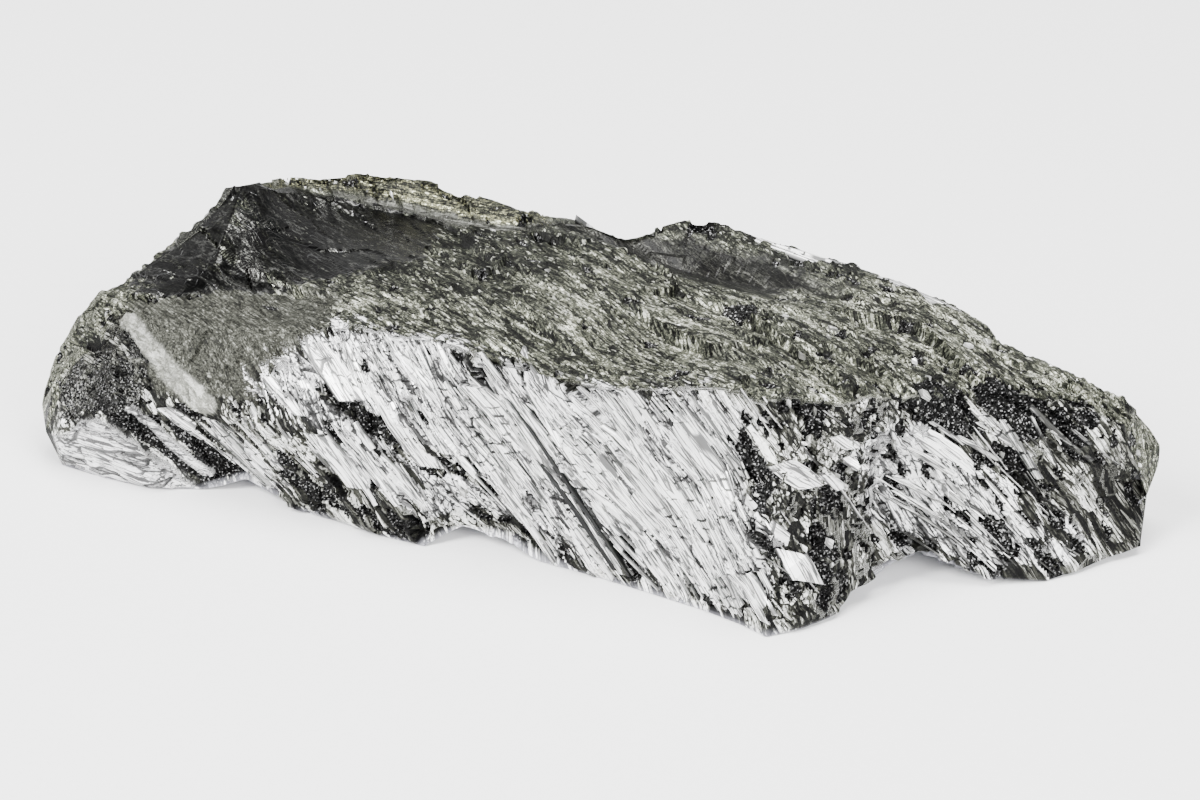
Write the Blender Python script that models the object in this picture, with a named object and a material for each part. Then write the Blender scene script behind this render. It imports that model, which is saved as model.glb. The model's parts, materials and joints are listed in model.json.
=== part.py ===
"""A broken block of massive stibnite: one stone of grey metallic crystals that grew together.

The stone is a closed hull lofted between outlines, the rails, that run its length from the left
end to the right end. The hull is broken into stretched facets, as a crystalline mass breaks, then
joined with the blades that stand out of its faces, and cut with angular pits.

+X runs along the stone, +Y towards its back and +Z up. The origin is under the middle of the
stone, on the surface that it rests on. Lengths are in millimetres until a mesh is made.
"""

import bmesh
import bpy
import numpy as np

MM = 0.001
STONE = "stibnite_mass"

# The stone's overall size. The rails are drawn on the nominal stone and stretched to it.
NOMINAL_SIZE = (138.6, 61.0, 28.5)
LENGTH = 138.6
DEPTH = 61.0
HEIGHT = 28.5

# Stations along the stone, and columns of faces between one rail and the next.
STATIONS = 56
COLUMNS = {
    "foot": 4, "cheek": 4, "brow": 3, "crest": 3, "lip": 2,
    "rim": 3, "back": 3, "heel": 1, "keel": 1,
}

# Both ends of the stone, where all the rails meet.
LEFT_END = (-66.7, -26.1, 4.0)
RIGHT_END = (68.6, 12.6, 6.0)

# The rails, from the left end to the right end: x, y, z.
# The foot is the front edge of the underside, with the arch on the right.
FOOT = [
    (-64.2, -26.6, 0.0), (-57.1, -27.5, 0.0), (-50.4, -27.5, 0.0), (-44.4, -25.1, 0.0),
    (-38.8, -23.3, 0.8), (-29.8, -25.0, 0.4), (-23.7, -25.6, 0.0), (-16.7, -26.8, 0.0),
    (-11.1, -26.9, 0.0), (-7.4, -24.0, 1.0), (-2.2, -24.0, 0.6), (3.5, -24.5, 0.0),
    (12.0, -25.3, 0.0), (19.1, -26.3, 0.0), (26.1, -27.4, 0.0), (31.8, -28.8, 0.0),
    (35.8, -30.4, 0.0), (38.7, -27.1, 0.2), (41.6, -22.2, 0.6), (41.8, -19.5, 2.0),
    (44.3, -14.0, 3.0), (47.3, -9.3, 3.6), (51.8, -8.2, 2.2), (56.2, -6.1, 0.8),
    (61.1, -3.3, 0.0), (63.7, 0.1, 0.3), (65.8, 4.2, 0.6), (69.3, 8.5, 1.0),
    (68.7, 11.6, 3.0),
]
# The cheek is halfway up the front and right faces.
CHEEK = [
    (-62.5, -28.4, 5.0), (-57.1, -27.6, 9.0), (-50.6, -26.0, 11.0), (-42.6, -25.6, 12.0),
    (-32.9, -26.4, 12.0), (-24.7, -25.5, 12.5), (-15.6, -24.4, 12.5), (-4.7, -24.0, 12.5),
    (5.9, -23.6, 12.5), (16.7, -24.1, 13.0), (25.8, -24.2, 13.0), (33.9, -25.9, 13.5),
    (38.8, -18.6, 12.5), (42.4, -11.4, 12.0), (46.5, -7.1, 12.0), (52.4, -3.9, 11.0),
    (58.9, -0.4, 10.5), (63.4, 7.4, 9.0), (67.2, 14.2, 7.0),
]
# The brow is the edge between those faces and the top.
BROW = [
    (-64.4, -25.0, 9.0), (-59.0, -17.6, 19.0), (-46.9, -19.1, 20.0), (-35.4, -18.5, 21.5),
    (-27.3, -17.6, 24.0), (-14.9, -19.7, 25.0), (-2.6, -22.5, 25.0), (8.1, -22.7, 24.5),
    (17.2, -22.4, 25.5), (25.5, -20.9, 26.5), (32.4, -19.3, 26.0), (39.5, -14.9, 24.5),
    (43.5, -8.8, 23.0), (48.2, -1.6, 21.5), (54.5, 4.8, 20.0), (60.6, 9.4, 18.0),
    (65.1, 11.4, 15.0),
]
# The lip is the low line in front of the back rim, where a smooth scoop runs in the middle.
LIP = [
    (-67.0, -23.6, 9.5), (-66.1, -19.8, 13.0), (-64.2, -17.1, 16.0), (-62.2, -14.3, 18.8),
    (-59.7, -9.1, 20.8), (-56.5, -3.9, 23.2), (-55.0, 1.3, 25.8), (-55.1, 5.4, 27.6),
    (-53.8, 8.9, 27.4), (-51.4, 14.8, 26.0), (-46.8, 16.2, 24.4), (-42.1, 17.4, 23.6),
    (-38.1, 18.4, 23.2), (-29.9, 17.2, 23.0), (-22.3, 16.8, 23.0), (-16.6, 18.7, 24.0),
    (-9.0, 18.9, 24.4), (-3.2, 18.6, 23.8), (5.6, 18.6, 23.0), (14.7, 17.5, 22.6),
    (23.7, 19.0, 22.4), (28.4, 21.0, 22.2), (33.9, 20.9, 22.0), (41.1, 18.7, 21.3),
    (48.0, 14.3, 20.0), (56.6, 12.0, 19.2), (62.0, 12.6, 18.2), (65.7, 13.6, 15.4),
]
# The rim is the back edge of the top, with the peak on its left.
RIM = [
    (-69.3, -22.9, 6.0), (-68.8, -22.3, 9.0), (-69.3, -18.4, 12.0), (-68.4, -14.2, 15.5),
    (-67.2, -10.9, 18.0), (-63.1, -6.2, 20.5), (-59.3, -0.8, 23.0), (-57.4, 3.4, 25.5),
    (-56.7, 6.3, 28.0), (-55.4, 8.5, 28.0), (-55.6, 18.0, 25.5), (-49.5, 18.4, 26.5),
    (-45.4, 20.8, 27.2), (-35.5, 22.4, 26.8), (-27.4, 21.2, 26.0), (-18.3, 20.7, 24.4),
    (-10.9, 20.7, 25.4), (-5.9, 20.9, 24.6), (-2.9, 23.8, 25.6), (1.2, 25.7, 26.6),
    (4.9, 27.2, 26.4), (11.7, 28.0, 25.0), (18.8, 28.0, 23.0), (24.4, 28.0, 22.0),
    (30.5, 26.7, 21.5), (39.6, 24.0, 21.0), (45.3, 20.9, 20.5), (46.8, 18.7, 19.5),
    (56.0, 14.5, 19.0), (61.3, 14.8, 18.0), (65.5, 15.6, 15.3), (67.5, 16.3, 13.0),
    (68.8, 16.5, 11.0), (68.8, 16.2, 8.5),
]
# The back is halfway down the broken rear face.
BACK = [
    (-69.0, -18.0, 5.0), (-66.8, -8.0, 9.5), (-62.0, 2.5, 12.0), (-59.5, 12.0, 13.0),
    (-55.5, 22.0, 13.5), (-44.0, 27.0, 12.0), (-30.0, 26.0, 13.0), (-16.0, 26.5, 11.5),
    (-4.0, 28.8, 13.0), (8.0, 30.2, 12.0), (20.0, 29.6, 11.0), (32.0, 29.0, 11.5),
    (44.0, 25.0, 10.5), (55.0, 20.5, 10.0), (64.0, 19.0, 8.5), (68.0, 17.6, 6.5),
]
# The heel is the back edge of the underside.
HEEL = [
    (-66.0, -18.0, 0.0), (-63.0, -7.0, 0.0), (-59.5, 3.0, 0.0), (-57.0, 14.0, 0.0),
    (-50.0, 22.5, 0.0), (-38.0, 24.5, 0.0), (-22.0, 23.0, 0.0), (-8.0, 25.5, 0.0),
    (6.0, 27.6, 0.0), (20.0, 26.0, 0.0), (33.0, 26.5, 0.0), (46.0, 22.0, 0.0),
    (57.0, 17.0, 0.0), (65.0, 15.5, 0.6),
]
# The keel is a line along the flat underside that the stone rests on.
KEEL = [
    (-63.0, -20.0, 0.0), (-50.0, -16.0, 0.0), (-30.0, -12.0, 0.0), (0.0, -10.0, 0.0),
    (25.0, -12.0, 0.0), (40.0, -6.0, 0.0), (52.0, 3.0, 0.0), (63.0, 9.0, 0.0),
]

# How far the middle of the top stands over a straight line from brow to lip.
CROWN = 0.6

# The crystals' long axis on the broken faces, and the line of their sheets across the top.
BLADE_AXIS = (0.72, -0.19, -0.68)
SHEET_AXIS = (0.886, -0.464, 0.0)
TOP_NORMAL_Z = 0.75

# Facets that the mass breaks into, coarse and fine: stretched along the crystals, stepped in
# height and tilted.
FACET_SCALES = [
    # count  stretch  step  tilt
    (95, 2.2, 0.70, 0.06),
    (520, 2.8, 0.36, 0.07),
]
FACET_SEED = 47

# The relief fades out in this height over the underside, and in this share of the stone's length
# between its bare tip and the full relief.
SOLE_BAND = 1.2
BARE_TIP = 0.02
TIP_BAND = 0.05

# Hollows in the surface: middle, reach along and across the axis, and depth.
SCOOP_AXIS = (0.93, -0.36, 0.0)
HOLLOWS = [
    # middle                axis          along  across  depth
    ((2.0, 19.6, 23.6), SCOOP_AXIS, 17.0, 4.6, 1.2),
    ((-62.5, -21.0, 13.0), BLADE_AXIS, 7.0, 5.0, 1.3),
    ((-49.0, 12.0, 26.0), SHEET_AXIS, 9.0, 5.0, 0.8),
    ((33.0, -23.5, 14.0), BLADE_AXIS, 8.0, 4.0, 1.3),
    ((44.0, -9.5, 7.0), BLADE_AXIS, 6.0, 4.5, 1.4),
    ((58.0, 2.0, 12.0), BLADE_AXIS, 7.0, 3.0, 1.1),
    ((-30.0, 26.0, 14.0), BLADE_AXIS, 9.0, 7.0, 1.6),
    ((14.0, 30.0, 13.0), BLADE_AXIS, 10.0, 6.0, 1.5),
]

# Broad plates that stand out by themselves on the front, as ends at (station, column), width and
# how proud they stand.
PLATES = [
    ((0.171, 0.86), (0.215, 0.08), 3.2, 0.85),
    ((0.129, 0.96), (0.163, 0.62), 2.0, 0.60),
    ((0.086, 1.96), (0.169, 1.08), 3.4, 0.60),
    ((0.268, 1.78), (0.308, 1.27), 2.6, 0.80),
    ((0.340, 1.37), (0.384, 0.77), 3.4, 0.70),
    ((0.712, 0.72), (0.722, 0.30), 4.2, 0.90),
]

# Grooves and cells that cut the front between its blades: ends, width and depth.
GROOVES = [
    ((0.458, 1.61), (0.553, 0.10), 1.5, 1.1),
    ((0.425, 1.85), (0.470, 1.20), 1.0, 0.8),
    ((0.605, 1.12), (0.626, 0.84), 1.8, 1.3),
    ((0.668, 1.49), (0.700, 0.75), 2.0, 1.5),
    ((0.697, 1.52), (0.712, 1.20), 3.2, 1.6),
    ((0.052, 1.36), (0.170, 0.14), 2.2, 0.9),
    ((0.127, 0.72), (0.184, 0.10), 1.6, 0.8),
]

# Blades that stand out of the faces. Each zone is a span of stations and of columns, with how
# many blades it has, their length and width, how proud they stand and how far they fan out.
BLADE_THICKNESS = 2.2
BLADE_TAPER = 0.16
BLADE_LEAN = 0.25
SHORTEST_BLADE = 3.0
END_SLANT = 0.7
BLADE_ZONES = [
    # stations      columns      count  length        width       proud        fan
    ((0.13, 0.66), (0.12, 1.95), 60, (9.0, 24.0), (1.6, 4.2), (0.30, 0.80), 0.06),
    ((0.67, 0.94), (0.15, 1.95), 30, (5.0, 14.0), (1.2, 2.8), (0.35, 0.95), 0.16),
    ((0.03, 0.13), (0.2, 1.8), 8, (6.0, 12.0), (1.6, 3.2), (0.25, 0.60), 0.10),
    ((0.12, 0.90), (2.1, 3.9), 22, (8.0, 20.0), (1.4, 3.2), (0.25, 0.45), 0.10),
    ((0.15, 0.85), (5.2, 6.9), 20, (8.0, 18.0), (1.6, 4.2), (0.25, 0.70), 0.12),
]
BLADE_SEED = 11
LOWEST_BLADE = 0.3

# Angular pits, cut between the blades: mostly in the right face and the notch beside it.
PIT_ZONES = [
    # stations      columns      count  length       width       depth
    ((0.67, 0.93), (0.35, 1.95), 18, (2.4, 6.0), (1.4, 2.6), (0.9, 1.7)),
    ((0.20, 0.60), (0.25, 1.60), 7, (4.0, 9.0), (0.7, 1.3), (0.7, 1.1)),
    ((0.03, 0.12), (0.9, 1.9), 4, (2.0, 4.5), (1.0, 2.0), (0.7, 1.2)),
]
PIT_TAPER = 0.2
PIT_FAN = 0.35
SHORTEST_PIT = 1.2
PIT_SEED = 5
LOWEST_PIT = 0.8


def unit(vectors):
    """Vectors scaled to a length of one."""
    vectors = np.asarray(vectors, dtype=float)
    return vectors / np.linalg.norm(vectors, axis=-1, keepdims=True)


def stretched(points):
    """Points of the nominal stone, stretched to the driving dimensions."""
    sizes = np.array((LENGTH, DEPTH, HEIGHT)) / np.array(NOMINAL_SIZE)
    return np.asarray(points, dtype=float) * sizes


def along_rail(rail, shares):
    """Points of a rail, ends included, at shares of the way along it.

    The share of each of its points is the mean of its share of the rail's length and its share
    of the run in x, so that stations of neighbouring rails stay opposite each other.
    """
    points = stretched([LEFT_END] + list(rail) + [RIGHT_END])
    steps = np.linalg.norm(np.diff(points, axis=0), axis=1)
    by_length = np.concatenate(([0.0], np.cumsum(steps))) / steps.sum()
    runs = np.abs(np.diff(points[:, 0]))
    by_run = np.concatenate(([0.0], np.cumsum(runs))) / runs.sum()
    place = (by_length + by_run) / 2
    return np.stack([np.interp(shares, place, points[:, k]) for k in range(3)], axis=1)


def crest_between(brow, lip, shares):
    """The crest, halfway across the top: the mean of brow and lip, slightly crowned."""
    return (brow + lip) / 2 + np.sin(np.pi * shares)[:, None] * (0.0, 0.0, CROWN)


def rail_loop(shares):
    """Every rail at the given shares, in order round the stone: foot, cheek, brow, crest, lip,
    rim, back, heel, keel."""
    brow = along_rail(BROW, shares)
    lip = along_rail(LIP, shares)
    return {
        "foot": along_rail(FOOT, shares),
        "cheek": along_rail(CHEEK, shares),
        "brow": brow,
        "crest": crest_between(brow, lip, shares),
        "lip": lip,
        "rim": along_rail(RIM, shares),
        "back": along_rail(BACK, shares),
        "heel": along_rail(HEEL, shares),
        "keel": along_rail(KEEL, shares),
    }


def hull_point(station, column):
    """Points of the hull at stations from 0 to 1 and columns counted in rails from the foot."""
    station = np.atleast_1d(station)
    column = np.atleast_1d(column)
    rails = np.stack(list(rail_loop(station).values()), axis=0)
    low = np.floor(column).astype(int) % len(rails)
    high = (low + 1) % len(rails)
    share = (column - np.floor(column))[:, None]
    rows = np.arange(len(station))
    return rails[low, rows] * (1 - share) + rails[high, rows] * share


def hull_grid():
    """The hull as a grid of points: stations by columns, the column loop left open."""
    shares = np.linspace(0.0, 1.0, STATIONS + 1)[1:-1]
    counts = list(COLUMNS.values())
    columns = np.concatenate([k + np.arange(n) / n for k, n in enumerate(counts)])
    stations, column_grid = np.meshgrid(shares, columns, indexing="ij")
    return hull_point(stations.ravel(), column_grid.ravel()).reshape(len(shares), len(columns), 3)


def grid_normals(grid):
    """Outward normals of the grid, from the run of its stations and of its columns."""
    along = np.gradient(grid, axis=0)
    around = np.roll(grid, -1, axis=1) - np.roll(grid, 1, axis=1)
    return unit(np.cross(along, around) + 1e-9)


def grain_axis(normals):
    """The line of the crystals at each normal: the sheets' line on top, the blades' elsewhere,
    laid into the surface."""
    is_top = normals[:, 2:3] > TOP_NORMAL_Z
    axis = np.where(is_top, np.array(SHEET_AXIS), np.array(BLADE_AXIS))
    return unit(axis - (axis * normals).sum(axis=1, keepdims=True) * normals)


def facet_relief(points, normals):
    """Heights over the hull: the surface is shared out to the nearest of many seed points, near
    along the crystals and far across them, and each share is a plane with a step and a tilt."""
    draw = np.random.default_rng(FACET_SEED)
    axes = grain_axis(normals)
    relief = np.zeros(len(points))
    for count, stretch, step, tilt in FACET_SCALES:
        seeds = points[draw.choice(len(points), count, replace=False)]
        steps = draw.uniform(-step, step, count)
        tilts = draw.normal(0.0, tilt, (count, 3))
        offset = points[:, None, :] - seeds[None, :, :]
        run = (offset * axes[:, None, :]).sum(axis=2)
        reach = (offset ** 2).sum(axis=2) - run ** 2 * (1 - 1 / stretch ** 2)
        nearest = reach.argmin(axis=1)
        slope = (offset[np.arange(len(points)), nearest] * tilts[nearest]).sum(axis=1)
        relief += steps[nearest] + np.clip(slope, -step, step)
    return relief


def hollow_relief(points):
    """Heights, all below zero, of the named hollows: smooth dents, longer along their axis."""
    depth = np.zeros(len(points))
    for middle, axis, along, across, deep in HOLLOWS:
        offset = points - stretched(middle)
        run = offset @ unit(axis)
        side = np.sqrt(np.maximum((offset ** 2).sum(axis=1) - run ** 2, 0.0))
        spread = (run / along) ** 2 + (side / across) ** 2
        depth -= deep * np.exp(-spread * 1.6)
    return depth


def broken_grid():
    """The hull's grid with its relief. The underside keeps its flat face and its edge."""
    grid = hull_grid()
    points = grid.reshape(-1, 3)
    normals = grid_normals(grid).reshape(-1, 3)
    over_sole = np.clip(points[:, 2] / SOLE_BAND, 0.0, 1.0)
    share = np.linspace(0.0, 1.0, STATIONS + 1)[1:-1].repeat(grid.shape[1])
    from_tip = np.clip((np.minimum(share, 1.0 - share) - BARE_TIP) / TIP_BAND, 0.0, 1.0)
    relief = facet_relief(points, normals) + hollow_relief(points)
    points = points + normals * (relief * over_sole * from_tip)[:, None]
    points[:, 2] = np.maximum(points[:, 2], 0.0)
    return points.reshape(grid.shape)


def hull_mesh(name):
    """A closed mesh: the broken grid joined into a tube, with a fan to each end of the stone."""
    grid = broken_grid()
    rows, columns = grid.shape[:2]
    points = np.concatenate([grid.reshape(-1, 3), stretched([LEFT_END, RIGHT_END])])
    left, right = rows * columns, rows * columns + 1
    row, column = np.meshgrid(np.arange(rows - 1), np.arange(columns), indexing="ij")
    after = (column + 1) % columns
    first = row * columns + column
    second = (row + 1) * columns + column
    third = (row + 1) * columns + after
    fourth = row * columns + after
    quads = np.stack([first, second, third, fourth], axis=-1).reshape(-1, 4)
    ring = np.arange(columns)
    turned = (ring + 1) % columns
    last = (rows - 1) * columns
    left_fan = np.stack([np.full(columns, left), ring, turned], axis=1)
    right_fan = np.stack([np.full(columns, right), last + turned, last + ring], axis=1)
    faces = np.concatenate([quads[:, [0, 1, 2]], quads[:, [0, 2, 3]], left_fan, right_fan])
    mesh = bpy.data.meshes.new(name)
    mesh.from_pydata((points * MM).tolist(), [], faces.tolist())
    mesh.update()
    return mesh


def surface_frame(station, column):
    """Place, outward normal and crystal axis of the hull at one station and column, with the
    hull's run for one whole share of stations and for one column."""
    span = 0.004
    here = hull_point(station, column)[0]
    run = hull_point(station + span, column)[0] - hull_point(station - span, column)[0]
    rise = hull_point(station, column + span)[0] - hull_point(station, column - span)[0]
    normal = unit(np.cross(run, rise))
    axis = grain_axis(normal[None, :])[0]
    return here, normal, axis, np.stack([run, rise], axis=1) / (2 * span)


def strip(draw, stations, columns, lengths, fan):
    """A line on the hull that a crystal follows: its two ends and the normal halfway. It is cut
    short where it would leave the zone, so that no crystal stands out past the stone's edges."""
    start = np.array([draw.uniform(*stations), draw.uniform(*columns)])
    normal, axis, runs = surface_frame(*start)[1:]
    angle = draw.normal(0.0, fan)
    axis = axis * np.cos(angle) + np.cross(normal, axis) * np.sin(angle)
    step = np.linalg.lstsq(runs, axis * draw.uniform(*lengths), rcond=None)[0]
    low, high = np.array([stations, columns]).T
    room = np.where(step > 0, high - start, start - low) / np.maximum(np.abs(step), 1e-6)
    return strip_between(start, start + step * min(1.0, room.min()))


def strip_between(start, end):
    """The two ends and the middle normal of a line between two (station, column) pairs."""
    start, end = np.array(start), np.array(end)
    normal = surface_frame(*((start + end) / 2))[1]
    return hull_point(*start)[0], hull_point(*end)[0], normal


def prism(start, end, normal, width, thickness, taper):
    """Corners and faces of a four-sided blade from one point to another, cut slantwise at its
    ends. Its broad face on the normal's side is narrower, by the taper at each edge."""
    axis = unit(end - start)
    side = unit(np.cross(normal, axis))
    upward = np.cross(axis, side)
    across = np.array([-0.5, 0.5, 0.5 - taper, taper - 0.5]) * width
    up = np.array([-0.5, -0.5, 0.5, 0.5]) * thickness
    ring = across[:, None] * side + up[:, None] * upward + (across * END_SLANT)[:, None] * axis
    walls = [(k, (k + 1) % 4, (k + 1) % 4 + 4, k + 4) for k in range(4)]
    caps = [(3, 2, 1, 0), (4, 5, 6, 7)]
    return np.concatenate([ring + start, ring + end]), walls + caps


def blades(draw):
    """Corners and faces of every blade: sunk in the hull, with its top a little proud of it."""
    for start, end, width, proud in PLATES:
        start, end, normal = strip_between(start, end)
        sunk = normal * (BLADE_THICKNESS / 2 - proud)
        yield prism(start - sunk, end - sunk, normal, width, BLADE_THICKNESS, BLADE_TAPER)
    for stations, columns, count, lengths, widths, prouds, fan in BLADE_ZONES:
        for _ in range(count):
            start, end, normal = strip(draw, stations, columns, lengths, fan)
            sunk = BLADE_THICKNESS / 2 - draw.uniform(*prouds)
            lean = draw.uniform(-BLADE_LEAN, BLADE_LEAN)
            width = draw.uniform(*widths)
            if np.linalg.norm(end - start) > SHORTEST_BLADE:
                start = start - normal * (sunk + lean)
                end = end - normal * (sunk - lean)
                yield prism(start, end, normal, width, BLADE_THICKNESS, BLADE_TAPER)


def pits(draw):
    """Corners and faces of every pit: a blade's shape upside down, half out of the hull, so that
    the pit narrows as it goes in."""
    for start, end, width, deep in GROOVES:
        start, end, normal = strip_between(start, end)
        yield prism(start, end, -normal, width, 2 * deep, PIT_TAPER)
    for stations, columns, count, lengths, widths, depths in PIT_ZONES:
        for _ in range(count):
            start, end, normal = strip(draw, stations, columns, lengths, PIT_FAN)
            deep = draw.uniform(*depths)
            width = draw.uniform(*widths)
            if np.linalg.norm(end - start) > SHORTEST_PIT:
                yield prism(start, end, -normal, width, 2 * deep, PIT_TAPER)


def joined_prisms(name, prisms, lowest):
    """One mesh of many prisms, each lifted where it would reach below the lowest height."""
    points = []
    faces = []
    for corners, prism_faces in prisms:
        drop = max(lowest - corners[:, 2].min(), 0.0)
        corners = corners + (0.0, 0.0, drop)
        start = len(points)
        points.extend((corners * MM).tolist())
        faces.extend([tuple(start + k for k in face) for face in prism_faces])
    mesh = bpy.data.meshes.new(name)
    mesh.from_pydata(points, [], faces)
    mesh.update()
    return mesh


def shaped_by(stone, mesh, operation):
    """Join a mesh to the stone, or cut the stone with it, for good."""
    helper = bpy.data.objects.new(mesh.name, mesh)
    bpy.context.collection.objects.link(helper)
    change = stone.modifiers.new(mesh.name, "BOOLEAN")
    change.operation = operation
    change.solver = "EXACT"
    change.use_self = True
    change.object = helper
    scene = bpy.context.evaluated_depsgraph_get()
    shaped = bpy.data.meshes.new_from_object(stone.evaluated_get(scene))
    stone.modifiers.clear()
    stone.data = shaped
    bpy.data.objects.remove(helper, do_unlink=True)


def islands(shape):
    """The faces of a bmesh in connected groups."""
    left = set(shape.faces)
    while left:
        group = set()
        edge = {left.pop()}
        while edge:
            group |= edge
            around = {other for face in edge for line in face.edges for other in line.link_faces}
            edge = around - group
        left -= group
        yield group


def keep_largest_island(mesh):
    """Delete loose splinters, and pockets shut in under a blade: all but the largest island."""
    shape = bmesh.new()
    shape.from_mesh(mesh)
    groups = sorted(islands(shape), key=len)
    spare = [face for group in groups[:-1] for face in group]
    bmesh.ops.delete(shape, geom=spare, context="FACES")
    shape.to_mesh(mesh)
    shape.free()
    mesh.update()


def stibnite_material():
    """Lead-grey metallic stibnite."""
    material = bpy.data.materials.new("stibnite_grey")
    material.use_nodes = True
    shader = material.node_tree.nodes["Principled BSDF"]
    shader.inputs["Base Color"].default_value = (0.42, 0.43, 0.42, 1.0)
    shader.inputs["Roughness"].default_value = 0.45
    shader.inputs["Metallic"].default_value = 0.85
    return material


def stone():
    """The whole stone: hull, blades and pits in one closed solid."""
    mass = bpy.data.objects.new(STONE, hull_mesh(STONE))
    bpy.context.collection.objects.link(mass)
    blade_draw = np.random.default_rng(BLADE_SEED)
    shaped_by(mass, joined_prisms("blades", blades(blade_draw), LOWEST_BLADE), "UNION")
    pit_draw = np.random.default_rng(PIT_SEED)
    shaped_by(mass, joined_prisms("pits", pits(pit_draw), LOWEST_PIT), "DIFFERENCE")
    keep_largest_island(mass.data)
    mass.data.name = STONE
    mass.data.materials.clear()
    mass.data.materials.append(stibnite_material())
    return mass


def clear_scene():
    """Remove whatever objects the file starts with."""
    for thing in list(bpy.data.objects):
        bpy.data.objects.remove(thing, do_unlink=True)


clear_scene()
stone()
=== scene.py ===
"""The look of a broken block of massive stibnite: silvery blades, dark granular cells between
them, an olive grey sugary top and a glossy near-black peak.

Every shape stands on one hull: a surface P(station, column), where the station runs from 0 at the
stone's left end to 1 at its right end and the column counts the rails round it, from the foot of
the front face over the top and the back to the underside. Lengths are in millimetres until a mesh
is made.
"""

import itertools
import json
import math

import bpy
import numpy as np
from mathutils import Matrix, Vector

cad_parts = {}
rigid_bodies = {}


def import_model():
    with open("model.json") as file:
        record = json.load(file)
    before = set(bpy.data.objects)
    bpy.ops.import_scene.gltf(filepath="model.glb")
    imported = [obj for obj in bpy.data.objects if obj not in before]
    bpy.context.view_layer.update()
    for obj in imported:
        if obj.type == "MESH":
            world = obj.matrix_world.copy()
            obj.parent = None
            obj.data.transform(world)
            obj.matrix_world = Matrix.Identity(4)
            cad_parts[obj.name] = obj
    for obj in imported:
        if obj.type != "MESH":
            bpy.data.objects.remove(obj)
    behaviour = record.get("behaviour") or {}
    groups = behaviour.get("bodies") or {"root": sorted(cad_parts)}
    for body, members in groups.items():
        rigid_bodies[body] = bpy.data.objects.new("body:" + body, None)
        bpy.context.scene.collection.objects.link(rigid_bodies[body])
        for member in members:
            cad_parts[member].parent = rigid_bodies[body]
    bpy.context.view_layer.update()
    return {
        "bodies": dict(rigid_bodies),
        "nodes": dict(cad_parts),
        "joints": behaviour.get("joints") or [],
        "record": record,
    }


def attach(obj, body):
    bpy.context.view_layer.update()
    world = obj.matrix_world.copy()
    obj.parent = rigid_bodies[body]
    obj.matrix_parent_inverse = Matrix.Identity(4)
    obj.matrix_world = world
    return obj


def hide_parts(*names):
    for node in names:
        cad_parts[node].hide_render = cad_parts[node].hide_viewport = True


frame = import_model()

bl_info = {
    "name": "Stibnite mass",
    "version": (1, 0, 0),
    "blender": (4, 5, 0),
    "location": "View3D > Sidebar > Stibnite",
    "description": "Builds the surface, blades, grains and stage of a broken block of stibnite",
    "category": "Add Mesh",
}

MM = 0.001
STONE = "stibnite_mass"
BODY = "root"

# The hull, as in the solid --------------------------------------------

NOMINAL_SIZE = (138.6, 61.0, 28.5)
LENGTH = 138.6
DEPTH = 61.0
HEIGHT = 28.5

SOLID_STATIONS = 56
SOLID_COLUMNS = (4, 4, 3, 3, 2, 3, 3, 1, 1)

LEFT_END = (-66.7, -26.1, 4.0)
RIGHT_END = (68.6, 12.6, 6.0)

# The rails, from the left end to the right end: x, y, z.
# The foot is the front edge of the underside, with the arch on the right.
FOOT = [
    (-64.2, -26.6, 0.0), (-57.1, -27.5, 0.0), (-50.4, -27.5, 0.0), (-44.4, -25.1, 0.0),
    (-38.8, -23.3, 0.8), (-29.8, -25.0, 0.4), (-23.7, -25.6, 0.0), (-16.7, -26.8, 0.0),
    (-11.1, -26.9, 0.0), (-7.4, -24.0, 1.0), (-2.2, -24.0, 0.6), (3.5, -24.5, 0.0),
    (12.0, -25.3, 0.0), (19.1, -26.3, 0.0), (26.1, -27.4, 0.0), (31.8, -28.8, 0.0),
    (35.8, -30.4, 0.0), (38.7, -27.1, 0.2), (41.6, -22.2, 0.6), (41.8, -19.5, 2.0),
    (44.3, -14.0, 3.0), (47.3, -9.3, 3.6), (51.8, -8.2, 2.2), (56.2, -6.1, 0.8),
    (61.1, -3.3, 0.0), (63.7, 0.1, 0.3), (65.8, 4.2, 0.6), (69.3, 8.5, 1.0),
    (68.7, 11.6, 3.0),
]
# The cheek is halfway up the front and right faces.
CHEEK = [
    (-62.5, -28.4, 5.0), (-57.1, -27.6, 9.0), (-50.6, -26.0, 11.0), (-42.6, -25.6, 12.0),
    (-32.9, -26.4, 12.0), (-24.7, -25.5, 12.5), (-15.6, -24.4, 12.5), (-4.7, -24.0, 12.5),
    (5.9, -23.6, 12.5), (16.7, -24.1, 13.0), (25.8, -24.2, 13.0), (33.9, -25.9, 13.5),
    (38.8, -18.6, 12.5), (42.4, -11.4, 12.0), (46.5, -7.1, 12.0), (52.4, -3.9, 11.0),
    (58.9, -0.4, 10.5), (63.4, 7.4, 9.0), (67.2, 14.2, 7.0),
]
# The brow is the edge between those faces and the top.
BROW = [
    (-64.4, -25.0, 9.0), (-59.0, -17.6, 19.0), (-46.9, -19.1, 20.0), (-35.4, -18.5, 21.5),
    (-27.3, -17.6, 24.0), (-14.9, -19.7, 25.0), (-2.6, -22.5, 25.0), (8.1, -22.7, 24.5),
    (17.2, -22.4, 25.5), (25.5, -20.9, 26.5), (32.4, -19.3, 26.0), (39.5, -14.9, 24.5),
    (43.5, -8.8, 23.0), (48.2, -1.6, 21.5), (54.5, 4.8, 20.0), (60.6, 9.4, 18.0),
    (65.1, 11.4, 15.0),
]
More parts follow.
